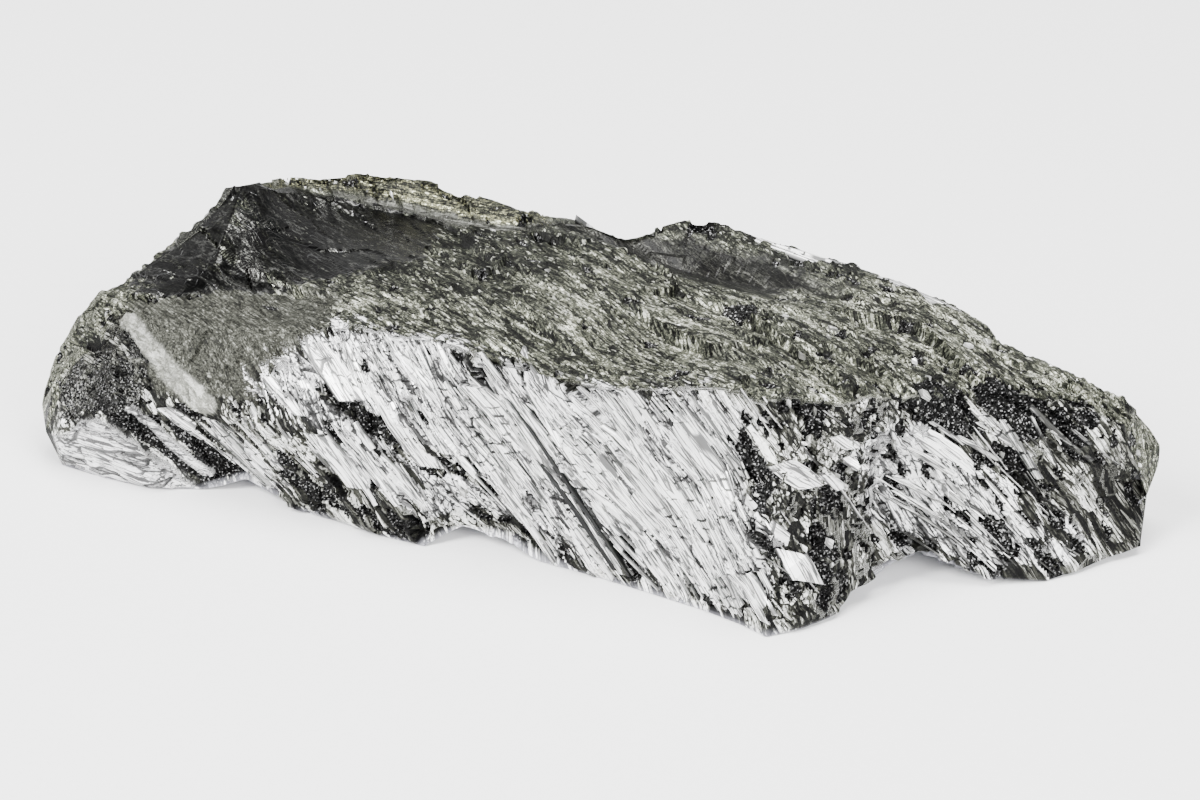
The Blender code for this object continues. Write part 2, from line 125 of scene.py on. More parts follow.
# The lip is the low line in front of the back rim, where a smooth scoop runs in the middle.
LIP = [
    (-67.0, -23.6, 9.5), (-66.1, -19.8, 13.0), (-64.2, -17.1, 16.0), (-62.2, -14.3, 18.8),
    (-59.7, -9.1, 20.8), (-56.5, -3.9, 23.2), (-55.0, 1.3, 25.8), (-55.1, 5.4, 27.6),
    (-53.8, 8.9, 27.4), (-51.4, 14.8, 26.0), (-46.8, 16.2, 24.4), (-42.1, 17.4, 23.6),
    (-38.1, 18.4, 23.2), (-29.9, 17.2, 23.0), (-22.3, 16.8, 23.0), (-16.6, 18.7, 24.0),
    (-9.0, 18.9, 24.4), (-3.2, 18.6, 23.8), (5.6, 18.6, 23.0), (14.7, 17.5, 22.6),
    (23.7, 19.0, 22.4), (28.4, 21.0, 22.2), (33.9, 20.9, 22.0), (41.1, 18.7, 21.3),
    (48.0, 14.3, 20.0), (56.6, 12.0, 19.2), (62.0, 12.6, 18.2), (65.7, 13.6, 15.4),
]
# The rim is the back edge of the top, with the peak on its left.
RIM = [
    (-69.3, -22.9, 6.0), (-68.8, -22.3, 9.0), (-69.3, -18.4, 12.0), (-68.4, -14.2, 15.5),
    (-67.2, -10.9, 18.0), (-63.1, -6.2, 20.5), (-59.3, -0.8, 23.0), (-57.4, 3.4, 25.5),
    (-56.7, 6.3, 28.0), (-55.4, 8.5, 28.0), (-55.6, 18.0, 25.5), (-49.5, 18.4, 26.5),
    (-45.4, 20.8, 27.2), (-35.5, 22.4, 26.8), (-27.4, 21.2, 26.0), (-18.3, 20.7, 24.4),
    (-10.9, 20.7, 25.4), (-5.9, 20.9, 24.6), (-2.9, 23.8, 25.6), (1.2, 25.7, 26.6),
    (4.9, 27.2, 26.4), (11.7, 28.0, 25.0), (18.8, 28.0, 23.0), (24.4, 28.0, 22.0),
    (30.5, 26.7, 21.5), (39.6, 24.0, 21.0), (45.3, 20.9, 20.5), (46.8, 18.7, 19.5),
    (56.0, 14.5, 19.0), (61.3, 14.8, 18.0), (65.5, 15.6, 15.3), (67.5, 16.3, 13.0),
    (68.8, 16.5, 11.0), (68.8, 16.2, 8.5),
]
# The back is halfway down the broken rear face.
BACK = [
    (-69.0, -18.0, 5.0), (-66.8, -8.0, 9.5), (-62.0, 2.5, 12.0), (-59.5, 12.0, 13.0),
    (-55.5, 22.0, 13.5), (-44.0, 27.0, 12.0), (-30.0, 26.0, 13.0), (-16.0, 26.5, 11.5),
    (-4.0, 28.8, 13.0), (8.0, 30.2, 12.0), (20.0, 29.6, 11.0), (32.0, 29.0, 11.5),
    (44.0, 25.0, 10.5), (55.0, 20.5, 10.0), (64.0, 19.0, 8.5), (68.0, 17.6, 6.5),
]
# The heel is the back edge of the underside.
HEEL = [
    (-66.0, -18.0, 0.0), (-63.0, -7.0, 0.0), (-59.5, 3.0, 0.0), (-57.0, 14.0, 0.0),
    (-50.0, 22.5, 0.0), (-38.0, 24.5, 0.0), (-22.0, 23.0, 0.0), (-8.0, 25.5, 0.0),
    (6.0, 27.6, 0.0), (20.0, 26.0, 0.0), (33.0, 26.5, 0.0), (46.0, 22.0, 0.0),
    (57.0, 17.0, 0.0), (65.0, 15.5, 0.6),
]
# The keel is a line along the flat underside that the stone rests on.
KEEL = [
    (-63.0, -20.0, 0.0), (-50.0, -16.0, 0.0), (-30.0, -12.0, 0.0), (0.0, -10.0, 0.0),
    (25.0, -12.0, 0.0), (40.0, -6.0, 0.0), (52.0, 3.0, 0.0), (63.0, 9.0, 0.0),
]

# Columns past WRAP_COLUMN are counted down from the foot, so that zones run on under it.
WRAP_COLUMN = 8.5
RAIL_COUNT = 9

# How far the crest stands above the middle of brow and lip.
CROWN = 0.6
# Half the steps in station and column that the hull's slope is taken over.
SLOPE_STEP = (0.006, 0.12)

# The lines of the crystals: in the broken faces, in the top, in the left block and in the rear
# strip.
BLADE_AXIS = (0.72, -0.19, -0.68)
SHEET_AXIS = (0.886, -0.464, 0.0)
LEVEL_AXIS = (0.994, 0.0, -0.108)
STRIP_AXIS = (1.0, 0.05, 0.0)
# Which way the right face looks, and the station it starts from.
RIGHT_FACE = (0.49, -0.85, 0.2)
RIGHT_START = 0.765
# Which way the two ends look, where the crystals are cut across.
LEFT_LOOK = (-0.97, 0.10, 0.20)
RIGHT_LOOK = (0.95, 0.20, 0.20)
# Where the normal's z says that a facet is of the top, and where the top's finish fades in.
TOP_NORMAL_Z = 0.75
TOP_FADE = (0.58, 0.76)
# The columns that the top lies between.
TOP_COLUMNS = (1.3, 5.6)
# Where the normal's x says that the crystals are cut across.
LEFT_NORMAL_X = -0.62
RIGHT_NORMAL_X = 0.86

# Rows for each mm along and across the crystals, so that rows lie level over the front.
ROW_SLOPE = (-0.71, 0.476, 0.0)

# The coarse facets and the named hollows, in mm, as in the solid.
FACET_SCALES = [
    # count  stretch  step  tilt
    (95, 2.2, 0.70, 0.06),
    (520, 2.8, 0.36, 0.07),
]
# The seed of the facets' places, and how many points are worked out at once.
FACET_SEED = 47
PART_SIZE = 8000
# The relief fades in over a band above the sole, and over shares of the length from each tip.
SOLE_BAND = 1.2
BARE_TIP = 0.02
TIP_BAND = 0.05
# How steep the bell curve of a hollow is.
BELL = 1.6
# How much of the facets' relief the smooth zones lose.
POLISH = 0.6

SCOOP_AXIS = (0.93, -0.36, 0.0)
HOLLOWS = [
    # middle                axis          along  across  depth
    ((2.0, 19.6, 23.6), SCOOP_AXIS, 17.0, 4.6, 1.2),
    ((-62.5, -21.0, 13.0), BLADE_AXIS, 7.0, 5.0, 1.3),
    ((-49.0, 12.0, 26.0), SHEET_AXIS, 9.0, 5.0, 0.8),
    ((33.0, -23.5, 14.0), BLADE_AXIS, 8.0, 4.0, 1.3),
    ((44.0, -9.5, 7.0), BLADE_AXIS, 6.0, 4.5, 1.4),
    ((58.0, 2.0, 12.0), BLADE_AXIS, 7.0, 3.0, 1.1),
    ((-30.0, 26.0, 14.0), BLADE_AXIS, 9.0, 7.0, 1.6),
    ((14.0, 30.0, 13.0), BLADE_AXIS, 10.0, 6.0, 1.5),
]

# The run in mm of one whole share of stations and of one column, to compare the two.
SPAN_MM = (139.0, 14.0)
# Zones of the surface: how softly each one ends, in mm, and its outline in (station, column).
ZONES = {
    "silver_front": (3.2, [
        (0.225, 1.45), (0.262, 1.72), (0.30, 1.92), (0.39, 2.06), (0.443, 1.92), (0.50, 1.92),
        (0.57, 1.88), (0.636, 1.98), (0.664, 1.57), (0.689, 0.95), (0.699, 0.38), (0.66, 0.10),
        (0.60, 0.10), (0.536, 0.14), (0.462, 0.24), (0.40, 0.42), (0.34, 0.78), (0.27, 1.05),
    ]),
    "silver_wedge": (1.2, [
        (0.28, 0.90), (0.33, 0.95), (0.385, 0.62), (0.42, 0.22), (0.385, 0.28), (0.32, 0.55),
    ]),
    "silver_left": (0.8, [
        (0.012, 0.95), (0.050, 1.14), (0.085, 0.78), (0.130, 0.30), (0.150, 0.02), (0.060, 0.0),
        (0.020, 0.10),
    ]),
    "silver_right": (2.5, [
        (0.765, 1.50), (0.79, 1.75), (0.83, 1.30), (0.90, 0.75), (0.93, 0.25), (0.86, 0.05),
        (0.80, 0.15), (0.775, 0.70),
    ]),
    "cells_left": (1.2, [
        (0.012, 1.5), (0.030, 3.6), (0.065, 2.60), (0.090, 1.85), (0.125, 1.45), (0.112, 1.05),
        (0.060, 1.20),
    ]),
    "notch": (2.5, [
        (0.655, 1.60), (0.70, 2.02), (0.765, 2.12), (0.79, 1.30), (0.775, 0.55), (0.745, 0.10),
        (0.715, 0.20), (0.700, 0.70),
    ]),
    "pits_right": (2.0, [
        (0.78, 2.05), (0.80, 2.25), (0.87, 2.45), (0.955, 2.55), (0.975, 1.10), (0.96, 0.30),
        (0.93, 0.20), (0.90, 0.95), (0.83, 1.35),
    ]),
    "grain_end": (1.5, [
        (0.965, 0.20), (0.955, 2.10), (0.96, 4.90), (1.01, 5.50), (1.01, -0.3),
    ]),
    "grey_slope": (2.5, [
        (0.095, 2.55), (0.166, 2.50), (0.27, 2.45), (0.285, 2.05), (0.255, 1.75), (0.215, 1.30),
        (0.17, 1.00), (0.13, 1.20), (0.09, 1.95),
    ]),
    "ebony": (1.4, [
        (0.088, 3.60), (0.098, 5.02), (0.173, 5.06), (0.192, 4.70), (0.220, 4.35),
        (0.262, 4.15), (0.294, 4.12), (0.335, 4.12), (0.335, 3.10), (0.290, 2.82),
        (0.262, 2.70), (0.235, 2.60), (0.206, 2.46), (0.174, 2.42), (0.143, 2.55),
        (0.112, 2.60),
    ]),
    "brassy": (0.6, [
        (0.190, 4.62), (0.205, 5.15), (0.30, 5.35), (0.445, 5.25), (0.445, 4.40),
        (0.403, 4.37), (0.374, 4.37), (0.336, 4.33), (0.296, 4.29), (0.265, 4.31), (0.24, 4.52),
    ]),
    "smooth_band": (0.4, [
        (0.235, 4.45), (0.265, 4.35), (0.296, 4.31), (0.336, 4.35), (0.374, 4.39),
        (0.427, 4.30), (0.431, 3.98), (0.400, 4.05), (0.373, 4.12), (0.335, 4.15),
        (0.294, 4.10), (0.262, 4.13), (0.232, 4.22),
    ]),
    "scoop": (1.6, [
        (0.40, 4.06), (0.44, 4.85), (0.505, 5.12), (0.54, 4.72), (0.60, 4.55), (0.66, 4.42),
        (0.70, 4.05), (0.64, 3.80), (0.56, 3.82), (0.48, 3.92),
    ]),
    "dusky": (3.0, [
        (0.20, 4.2), (0.25, 4.5), (0.33, 4.35), (0.42, 4.25), (0.50, 4.0), (0.52, 3.7),
        (0.46, 3.3), (0.40, 2.75), (0.33, 2.60), (0.27, 2.70), (0.22, 3.2),
    ]),
    "hump": (1.2, [
        (0.505, 5.15), (0.54, 4.78), (0.60, 4.60), (0.66, 4.48), (0.72, 4.40), (0.80, 5.0),
        (0.70, 5.3), (0.55, 5.35),
    ]),
}

# The ragged wander of the zones' edges, as noises: stretch, salt and reach in mm.
WANDERS = (
    ((0.25, 0.9, 0.9), 3, 4.0),
    ((0.7, 2.6, 2.6), 4, 1.6),
)
# How much of the wander each edge takes, where it isn't the whole of it. The last four move a
# limit on a normal or a station, and not a distance in mm.
EDGE_WANDER = {
    "silver_left": 0.2, "ebony": 0.6, "scoop": 0.6, "smooth_band": 0.6, "brassy": 0.6,
    "silver_strip": 0.05, "dark_bands": 0.06, "pale_band": 0.15, "belts": 0.35,
    "fleck_rows": 0.15, "top": 0.07, "right": 0.006, "left_end": 0.06, "right_end": 0.04,
}
# How far a straight band's edge fades, in mm.
BAND_EDGE = 0.25
# Straight bands on the front's left: ends as (station, column), half widths at each end in mm.
DARK_BANDS = [
    ((0.054, 1.34), (0.168, 0.10), 0.9, 1.5),
    ((0.133, 0.78), (0.190, 0.12), 0.5, 1.5),
]
# Belts of dark cells through the silver front: ends, half widths in mm.
BELTS = [
    ((0.289, 1.37), (0.394, 0.79), 1.2, 1.9),
    ((0.394, 0.79), (0.460, 0.48), 1.2, 0.5),
    ((0.250, 0.36), (0.377, 0.07), 1.5, 1.9),
    ((0.692, 1.44), (0.710, 1.20), 1.1, 1.5),
    ((0.845, 1.05), (0.885, 0.98), 0.9, 1.3),
    ((0.730, 1.05), (0.748, 0.70), 1.3, 1.0),
    ((0.607, 1.05), (0.627, 0.84), 1.0, 1.0),
    ((0.394, 0.35), (0.457, 0.14), 0.8, 1.2),
]
# Rows of pale brassy flecks in the rear strip, in the same way.
FLECK_ROWS = [
    ((0.285, 4.52), (0.425, 4.42), 0.5, 0.9),
    ((0.265, 4.80), (0.330, 4.72), 0.2, 0.4),
]
# The pale grey band between the left cheek and the slope, and the strip between the dark bands.
PALE_BAND = ((0.088, 1.96), (0.168, 1.06), 1.1, 2.0)
SILVER_STRIP = ((0.098, 1.02), (0.162, 0.16), 0.55, 0.85)
# The stations that the calm left part of the top fades out between.
CALM_FADE = (0.24, 0.36)

# Plates that stand out by themselves: ends, width, how proud, and how bright from 0 to 1.
PLATES = [
    ((0.171, 0.86), (0.217, 0.06), 2.3, 0.35, 0.62),
    ((0.131, 0.98), (0.168, 0.58), 1.9, 0.25, 0.56),
    ((0.268, 1.78), (0.308, 1.27), 1.9, 0.45, 1.00),
    ((0.280, 1.80), (0.318, 1.30), 2.2, 0.35, 0.95),
    ((0.233, 1.48), (0.268, 1.10), 1.6, 0.35, 0.90),
    ((0.340, 1.37), (0.384, 0.77), 3.0, 0.35, 1.00),
    ((0.346, 1.80), (0.399, 1.36), 3.4, 0.28, 1.00),
    ((0.513, 1.35), (0.562, 0.65), 3.0, 0.26, 0.95),
    ((0.566, 1.54), (0.621, 0.75), 2.8, 0.24, 0.95),
    ((0.633, 1.26), (0.684, 0.65), 3.0, 0.26, 0.90),
    ((0.712, 0.66), (0.724, 0.36), 3.4, 0.30, 1.00),
    ((0.452, 1.58), (0.548, 0.12), 0.60, 0.16, -0.30),
    ((0.468, 1.60), (0.562, 0.10), 0.45, 0.18, -0.30),
    ((0.460, 1.60), (0.555, 0.10), 0.55, 0.24, 0.45),
    ((0.700, 1.42), (0.728, 1.20), 2.8, 0.25, 1.00),
    ((0.743, 1.66), (0.757, 1.52), 1.7, 0.30, 1.00),
    ((0.753, 1.42), (0.765, 1.28), 1.4, 0.30, 1.00),
    ((0.737, 1.30), (0.753, 1.10), 1.3, 0.30, 1.00),
]

# Pale plates along the rear edge.
REAR_PLATES = [
    ((0.610, 4.90), (0.664, 4.88), 1.3, 0.16, 0.90),
    ((0.628, 4.97), (0.684, 4.95), 0.9, 0.20, 0.80),
    ((0.722, 4.72), (0.772, 4.70), 1.7, 0.16, 0.85),
    ((0.735, 4.86), (0.790, 4.84), 0.9, 0.20, 0.75),
]

# The colour attributes of the skin, which its material reads, and the four numbers in each.
SKIN_LAYERS = {
    "first_zones": ("silver", "dark", "ebony", "olive"),
    "second_zones": ("pale_band", "brassy", "smooth_parts", "hump"),
    "third_zones": ("silver_left", "tone", "under", "scoop"),
    "fourth_zones": ("dusky", "cells_left", "grain_end", "grey_slope"),
}
# The olive finish fades in over columns, up to its last one, and on the left end by how far the
# normal looks left, from its first column on.
OLIVE_FADE = (2.2, 2.6)
LAST_OLIVE_COLUMN = 5.2
END_FADE = (0.45, 0.75)
FIRST_END_COLUMN = 0.9
# The underside's finish, painted pale light, fades in by how far the normal looks down, and the
# back's painted lift of light over columns: in over the first pair and out over the second, which
# is given from its end to its start.
UNDERSIDE_LIGHT_FADE = (0.35, 0.9)
BACK_LIGHT_FADE_IN = (4.9, 5.3)
BACK_LIGHT_FADE_OUT = (7.4, 7.0)

# The skin's grid: stations along the stone, and columns between each rail and the next.
SKIN_STATIONS = 480
SKIN_COLUMNS = (40, 36, 36, 36, 10, 14, 14, 7, 7)

# The sides that blades are laid on: their lowest and highest column.
SIDES = {"front": (-0.25, 2.25), "back": (4.9, 7.1)}
# How many stations and columns the grids have that measure a side and that blades start from.
LANE_GRID = (60, 10)
START_GRID = (99, 16)
# The stations that blades are looked for between, held between and kept between, and those that
# they fade in over.
SEARCHED_STATIONS = (0.01, 0.99)
HELD_STATIONS = (0.004, 0.996)
BLADE_STATIONS = (0.015, 0.985)
FIRST_BLADES = (0.155, 0.20)
# The shares of a blade's length where it has its sections, by how many there are.
SECTION_SHARES = {
    2: np.array([[0.0], [1.0]]),
    4: np.array([[0.0], [0.33], [0.67], [1.0]]),
}
# Nothing that stands on the surface comes nearer the floor than this, in mm.
LOWEST_BLADE = 0.02
# A blade's outline has this many points. How far down the side each is: 1 at the root, 0 on the
# flat top, which is also how much painted shade it gets towards the root.
OUTLINE = 6
ROOT_SHADE_WEIGHTS = np.array([1.0, 0.25, 0.0, 0.0, 0.25, 1.0])
# The steps towards a blade's place: how many, the most that one goes in station and column, and
# the least area of run and rise that it is divided by.
SEARCH_STEPS = 7
LONGEST_STEP = (0.03, 0.3)
LEAST_AREA = 50.0
# The most that a blade's middle and its sections may miss the surface, in mm, and how many times
# its own length its two ends may lie apart.
MIDDLE_MISS = 0.3
SECTION_MISS = 0.4
LONGEST_LEAP = 1.3

# The layers of blades, from the broad plates to the fine splinters, in mm.
BLADE_LAYERS = (
    {"widths": (1.0, 3.0), "lengths": (6.0, 17.0), "proud": (0.05, 0.26), "turn": 0.02,
     "share": 0.78, "sections": 4},
    {"widths": (0.40, 1.0), "lengths": (4.0, 13.0), "proud": (0.12, 0.36), "turn": 0.035,
     "share": 0.72, "sections": 4},
    {"widths": (0.14, 0.32), "lengths": (3.0, 9.0), "proud": (0.20, 0.46), "turn": 0.06,
     "share": 0.62, "sections": 2},
)

# How a blade is made: its part on the curve and not the straight line, how far its root is sunk
# as a depth and a share of the width, and the ranges of its chamfers, of the drop of its top's
# edges, and of the narrowing and lowering of its ends.
BLADE_BEND = 0.45
ROOT_DEPTH = 0.35
ROOT_SHARE = 0.25
CHAMFERS = (0.10, 0.42)
EDGE_DROPS = (0.15, 0.75)
END_WIDTHS = (0.6, 1.0)
END_HEIGHTS = (0.3, 1.0)
# How much blades lean from side to side and how slanting their ends are, for each mm of width,
# and the width in mm from which they get no prouder.
BLADE_ROLL = 0.10
BLADE_SLANT = 1.3
WIDEST_FOR_HEIGHT = 1.6
# How far blades stray from the middle of their lane, as a share of its width, how much they turn
# in radians by themselves in two of the zones, and together, and how much of their length stays.
LANE_JITTER = 0.25
NOTCH_TURN = 0.16
PITS_TURN = 0.06
SLOW_TURN = 0.22
KEPT_LENGTH = (0.72, 1.0)
# A single plate's own roll and slant.
PLATE_ROLL = 0.05
PLATE_SLANT = 0.8
# How far apart the streaks of two blades may be in depth, in mm, so that no two are alike.
SALT_RANGE = 60.0

# How a flake is made: the range and the shape of its four corners' radii, the range of their
# heights, and its top as a share of its foot, all to its size, how far it is sunk in mm, and how
# much flakes turn, in radians.
FLAKE_RADII = (0.35, 1.0)
FLAKE_SHAPE = (1.0, 0.5, 1.0, 0.5)
FLAKE_HEIGHTS = (0.12, 0.55)
FLAKE_TOP = 0.82
FLAKE_ROOT = 0.25
FLAKE_TURN = 0.35
# The stations that flakes and grains are scattered between, the lowest that they may stand, and
# the columns and sizes of each. Heights and sizes are in mm.
FLAKE_STATIONS = (0.02, 0.985)
LOWEST_FLAKE = 0.4
FLAKE_COLUMNS = (-0.2, 6.9)
FLAKE_SIZES = (0.22, 1.1)
GRAIN_COLUMNS = (4.4, 5.4)
GRAIN_SIZES = (0.12, 0.36)

# How likely a flake is in each zone, the later ones over the earlier ones.
FLAKE_CHANCES = (
    ("top", 0.05), ("silver_front", 0.06), ("notch", 0.22), ("pits_right", 0.10),
    ("silver_right", 0.10), ("cells_left", 0.0), ("grain_end", 0.06), ("ebony", 0.0),
    ("scoop", 0.0), ("smooth_band", 0.0), ("pale_band", 0.0), ("brassy", 0.10), ("hump", 0.02),
    ("grey_slope", 0.01), ("silver_left", 0.0), ("dark_bands", 0.0),
)
# How likely a brassy grain is in each zone, in the same way.
GRAIN_CHANCES = (("brassy", 1.0),)

# How likely a dark cell is in each zone, the later ones over the earlier ones.
DARK_CHANCES = (
    ("top", 0.07), ("grey_slope", 0.02), ("silver_front", 0.05), ("belts", 0.80),
    ("silver_wedge", 0.0), ("silver_left", 0.0), ("cells_left", 0.70), ("notch", 0.38),
    ("pits_right", 0.50), ("silver_right", 0.34), ("grain_end", 0.05), ("ebony", 0.0), ("scoop", 0.0),
    ("smooth_band", 0.0), ("brassy", 0.10), ("hump", 0.16), ("pale_band", 0.0),
    ("dark_bands", 0.0),
)
# How likely a blade is in each zone, in the same way.
BLADE_CHANCES = (
    ("top", 0.0), ("grey_slope", 0.0), ("silver_front", 0.97), ("belts", 0.30),
    ("silver_wedge", 1.0), ("silver_left", 0.0), ("cells_left", 0.05), ("notch", 0.62),
    ("pits_right", 0.80), ("silver_right", 0.95), ("grain_end", 0.05), ("ebony", 0.0), ("scoop", 0.0),
    ("smooth_band", 0.0), ("brassy", 0.0), ("hump", 0.0), ("pale_band", 0.0),
    ("dark_bands", 0.0),
)
# How bright blades are in each zone, in the same way.
BLADE_TONES = (
    ("silver_front", 0.85), ("silver_wedge", 0.95), ("silver_right", 0.35), ("notch", 0.50),
    ("pits_right", 0.38), ("grey_slope", 0.30), ("cells_left", 0.55), ("grain_end", 0.35),
)
# The chances and the brightness outside all these zones.
PLAIN_DARK = 0.12
PLAIN_BLADE = 0.70
PLAIN_TONE = 0.62
# How much slow noise over the surface, and a blade's own chance, change its brightness.
SLOW_TONE = 0.64
OWN_TONE = 0.16
# The zones that have next to no fine relief, and those with flatter facets.
QUIET_ZONES = ("ebony", "scoop", "smooth_band", "pale_band", "silver_left")
SMOOTH_ZONES = ("ebony", "scoop", "grey_slope")
# The dark cells' coarse and fine sizes in mm, each with the salt of its chance, their stretch
# along the grain, the size and reach of what warps them, their walls, and the chance from which
# there are no walls.
COARSE_CELL = (3.4, 11)
FINE_CELL = (1.5, 21)
CELL_STRETCH = (0.55, 1.0, 1.0)
WARP_SIZE = 1.6
WARP_REACH = 1.5
CELL_WALL = (0.01, 0.10)
SURELY_DARK = 0.97
# The steps that the ledges' slow noise is cut into, and the share of one that its edge takes.
LEDGE_STEPS = 7.0
LEDGE_EDGE = 0.22
# Heights in mm: the ledges anywhere and more on the top, splinters, grains and the dark cells.
LEDGE_HEIGHT = 0.10
TOP_LEDGE_HEIGHT = 0.20
SPLINTER_HEIGHT = 0.20
GRAIN_HEIGHT = 0.09
CELL_DEPTH = 0.55
BAND_LESS_DEEP = 0.25

# The stage: camera in mm and degrees, lights in m and W.
CAMERA_TARGET = (1.8, -3.45, 12.5)
CAMERA_DISTANCE = 420.0
CAMERA_AZIMUTH = 25.0
CAMERA_ELEVATION = 25.0
CAMERA_LENS = 100.0
FLOOR_SIZE = 6.0
FLOOR_GAP = 0.0001
WORLD_LEVEL = 0.6
LIGHT_AIM = (0.0, 0.0, 0.01)
LIGHTS = (
    ("Key", (-0.35, -0.50, 0.55), 0.45, 17.0),
    ("Fill", (0.60, -0.40, 0.35), 0.45, 11.0),
    ("Top", (0.05, 0.15, 0.80), 0.60, 15.0),
)

# Numbers over the surface ---------------------------------------------

# What makes the hashed numbers wild: a step for each axis, one for each salt, and the size.
HASH_STEPS = (127.1, 311.7, 74.7)
HASH_SALT = 19.19
HASH_SIZE = 43758.5453


def unit(vectors):
    """Vectors divided by their own length."""
    vectors = np.asarray(vectors, dtype=float)
    return vectors / np.maximum(np.linalg.norm(vectors, axis=-1, keepdims=True), 1e-12)


def smooth(low, high, value):
    """0 below low, 1 above high, and 3t^2 - 2t^3 between, where t is the share of the way."""
    share = np.clip((value - low) / (high - low), 0.0, 1.0)
    return share * share * (3 - 2 * share)


def hashed(corners, salt):
    """A number from 0 to 1 for each corner of whole numbers: the fraction of a large sine."""
    mixed = corners @ np.array(HASH_STEPS) + salt * HASH_SALT
    return np.mod(np.abs(np.sin(mixed)) * HASH_SIZE, 1.0)


def value_noise(points, salt):
    """Smooth noise from 0 to 1: the eight corners of each unit cell, blended."""
    base = np.floor(points)
    share = points - base
    share = share * share * (3 - 2 * share)
    total = np.zeros(len(points))
    for corner in itertools.product((0.0, 1.0), repeat=3):
        weight = np.prod(np.where(np.array(corner) > 0, share, 1 - share), axis=1)
        total += weight * hashed(base + corner, salt)
    return total


def cell_noise(points, salt):
    """Space shared out to the nearest of one random point in each unit cell. Gives each share's
    own number from 0 to 1, and how much nearer its point is than the next one."""
    base = np.floor(points)
    nearest = np.full(len(points), 9.0)
    second = np.full(len(points), 9.0)
    number = np.zeros(len(points))
    for step in itertools.product((-1.0, 0.0, 1.0), repeat=3):
        cell = base + step
        seed = cell + np.stack([hashed(cell, salt + k) for k in (1, 2, 3)], axis=1)
        distance = np.linalg.norm(points - seed, axis=1)
        closer = distance < nearest
        second = np.where(closer, nearest, np.minimum(second, distance))
        number = np.where(closer, hashed(cell, salt), number)
        nearest = np.minimum(nearest, distance)
    return number, second - nearest


# The hull -------------------------------------------------------------


def stretched(points):
    """Points of the nominal stone, stretched to its own length, depth and height."""
    sizes = np.array((LENGTH, DEPTH, HEIGHT)) / np.array(NOMINAL_SIZE)
    return np.asarray(points, dtype=float) * sizes


def along_rail(rail, shares):
    """Points of a rail at shares of the way along it, where the share of each of its own points
    is the mean of its share of the rail's length and its share of the run in x."""
    points = stretched([LEFT_END] + list(rail) + [RIGHT_END])
    steps = np.linalg.norm(np.diff(points, axis=0), axis=1)
    by_length = np.concatenate(([0.0], np.cumsum(steps))) / steps.sum()
    runs = np.abs(np.diff(points[:, 0]))
    by_run = np.concatenate(([0.0], np.cumsum(runs))) / runs.sum()
    place = (by_length + by_run) / 2
    return np.stack([np.interp(shares, place, points[:, k]) for k in range(3)], axis=1)


def rails_at(shares):
    """The nine rails at the given shares. The crest is the mean of brow and lip, crowned."""
    brow = along_rail(BROW, shares)
    lip = along_rail(LIP, shares)
    crest = (brow + lip) / 2 + np.sin(np.pi * shares)[:, None] * (0.0, 0.0, CROWN)
    others = [along_rail(rail, shares) for rail in (FOOT, CHEEK, RIM, BACK, HEEL, KEEL)]
    return np.stack(others[:2] + [brow, crest, lip] + others[2:])


def hull_point(station, column):
    """P(station, column): the straight line between the two rails on either side."""
    station = np.clip(station, 0.0, 1.0)
    rails = rails_at(station)
    low = np.floor(column).astype(int) % RAIL_COUNT
    share = (column - np.floor(column))[:, None]
    rows = np.arange(len(station))
    return rails[low, rows] * (1 - share) + rails[(low + 1) % RAIL_COUNT, rows] * share


def hull_frame(station, column):
    """Place and outward normal, the cross product of the hull's run along the stations and its
    rise along the columns, and that run and rise for one whole share and one whole column."""
    ahead, up = SLOPE_STEP
    run = hull_point(station + ahead, column) - hull_point(station - ahead, column)
    rise = hull_point(station, column + up) - hull_point(station, column - up)
    normal = unit(np.cross(run, rise))
    return hull_point(station, column), normal, run / (2 * ahead), rise / (2 * up)


def laid_in(axis, normals):
    """An axis laid into the surface: what is left of it after its share along the normal."""
    axis = np.broadcast_to(np.asarray(axis, dtype=float), normals.shape)
    return unit(axis - (axis * normals).sum(axis=1, keepdims=True) * normals)


def grain_axis(normals):
    """The line of the crystals in the surface: the sheets' line on top, else the blades'."""
    is_top = normals[:, 2:3] > TOP_NORMAL_Z
    return np.where(is_top, laid_in(SHEET_AXIS, normals), laid_in(BLADE_AXIS, normals))


def solid_grid():
    """The points of the solid's own grid, which its facets are seeded on."""
    shares = np.linspace(0.0, 1.0, SOLID_STATIONS + 1)[1:-1]
    columns = np.concatenate([k + np.arange(n) / n for k, n in enumerate(SOLID_COLUMNS)])
    stations, columns = np.meshgrid(shares, columns, indexing="ij")
    return hull_point(stations.ravel(), columns.ravel())


def facet_relief(points, normals):
    """Heights of the coarse facets: each point belongs to the seed that is nearest, with the
    distance along the crystals divided by the stretch, and takes its step and tilted plane."""
    draw = np.random.default_rng(FACET_SEED)
    grid = solid_grid()
    axes = grain_axis(normals)
    relief = np.zeros(len(points))
    for count, stretch, step, tilt in FACET_SCALES:
        seeds = grid[draw.choice(len(grid), count, replace=False)]
        steps = draw.uniform(-step, step, count)
        tilts = draw.normal(0.0, tilt, (count, 3))
        for part in np.array_split(np.arange(len(points)), 1 + len(points) // PART_SIZE):
            here, axis = points[part], axes[part]
            run = (here * axis).sum(axis=1, keepdims=True) - axis @ seeds.T
            square = (seeds ** 2).sum(axis=1) - 2 * here @ seeds.T
            nearest = (square - run ** 2 * (1 - 1 / stretch ** 2)).argmin(axis=1)
            slope = ((here - seeds[nearest]) * tilts[nearest]).sum(axis=1)
            relief[part] += steps[nearest] + np.clip(slope, -step, step)
    return relief


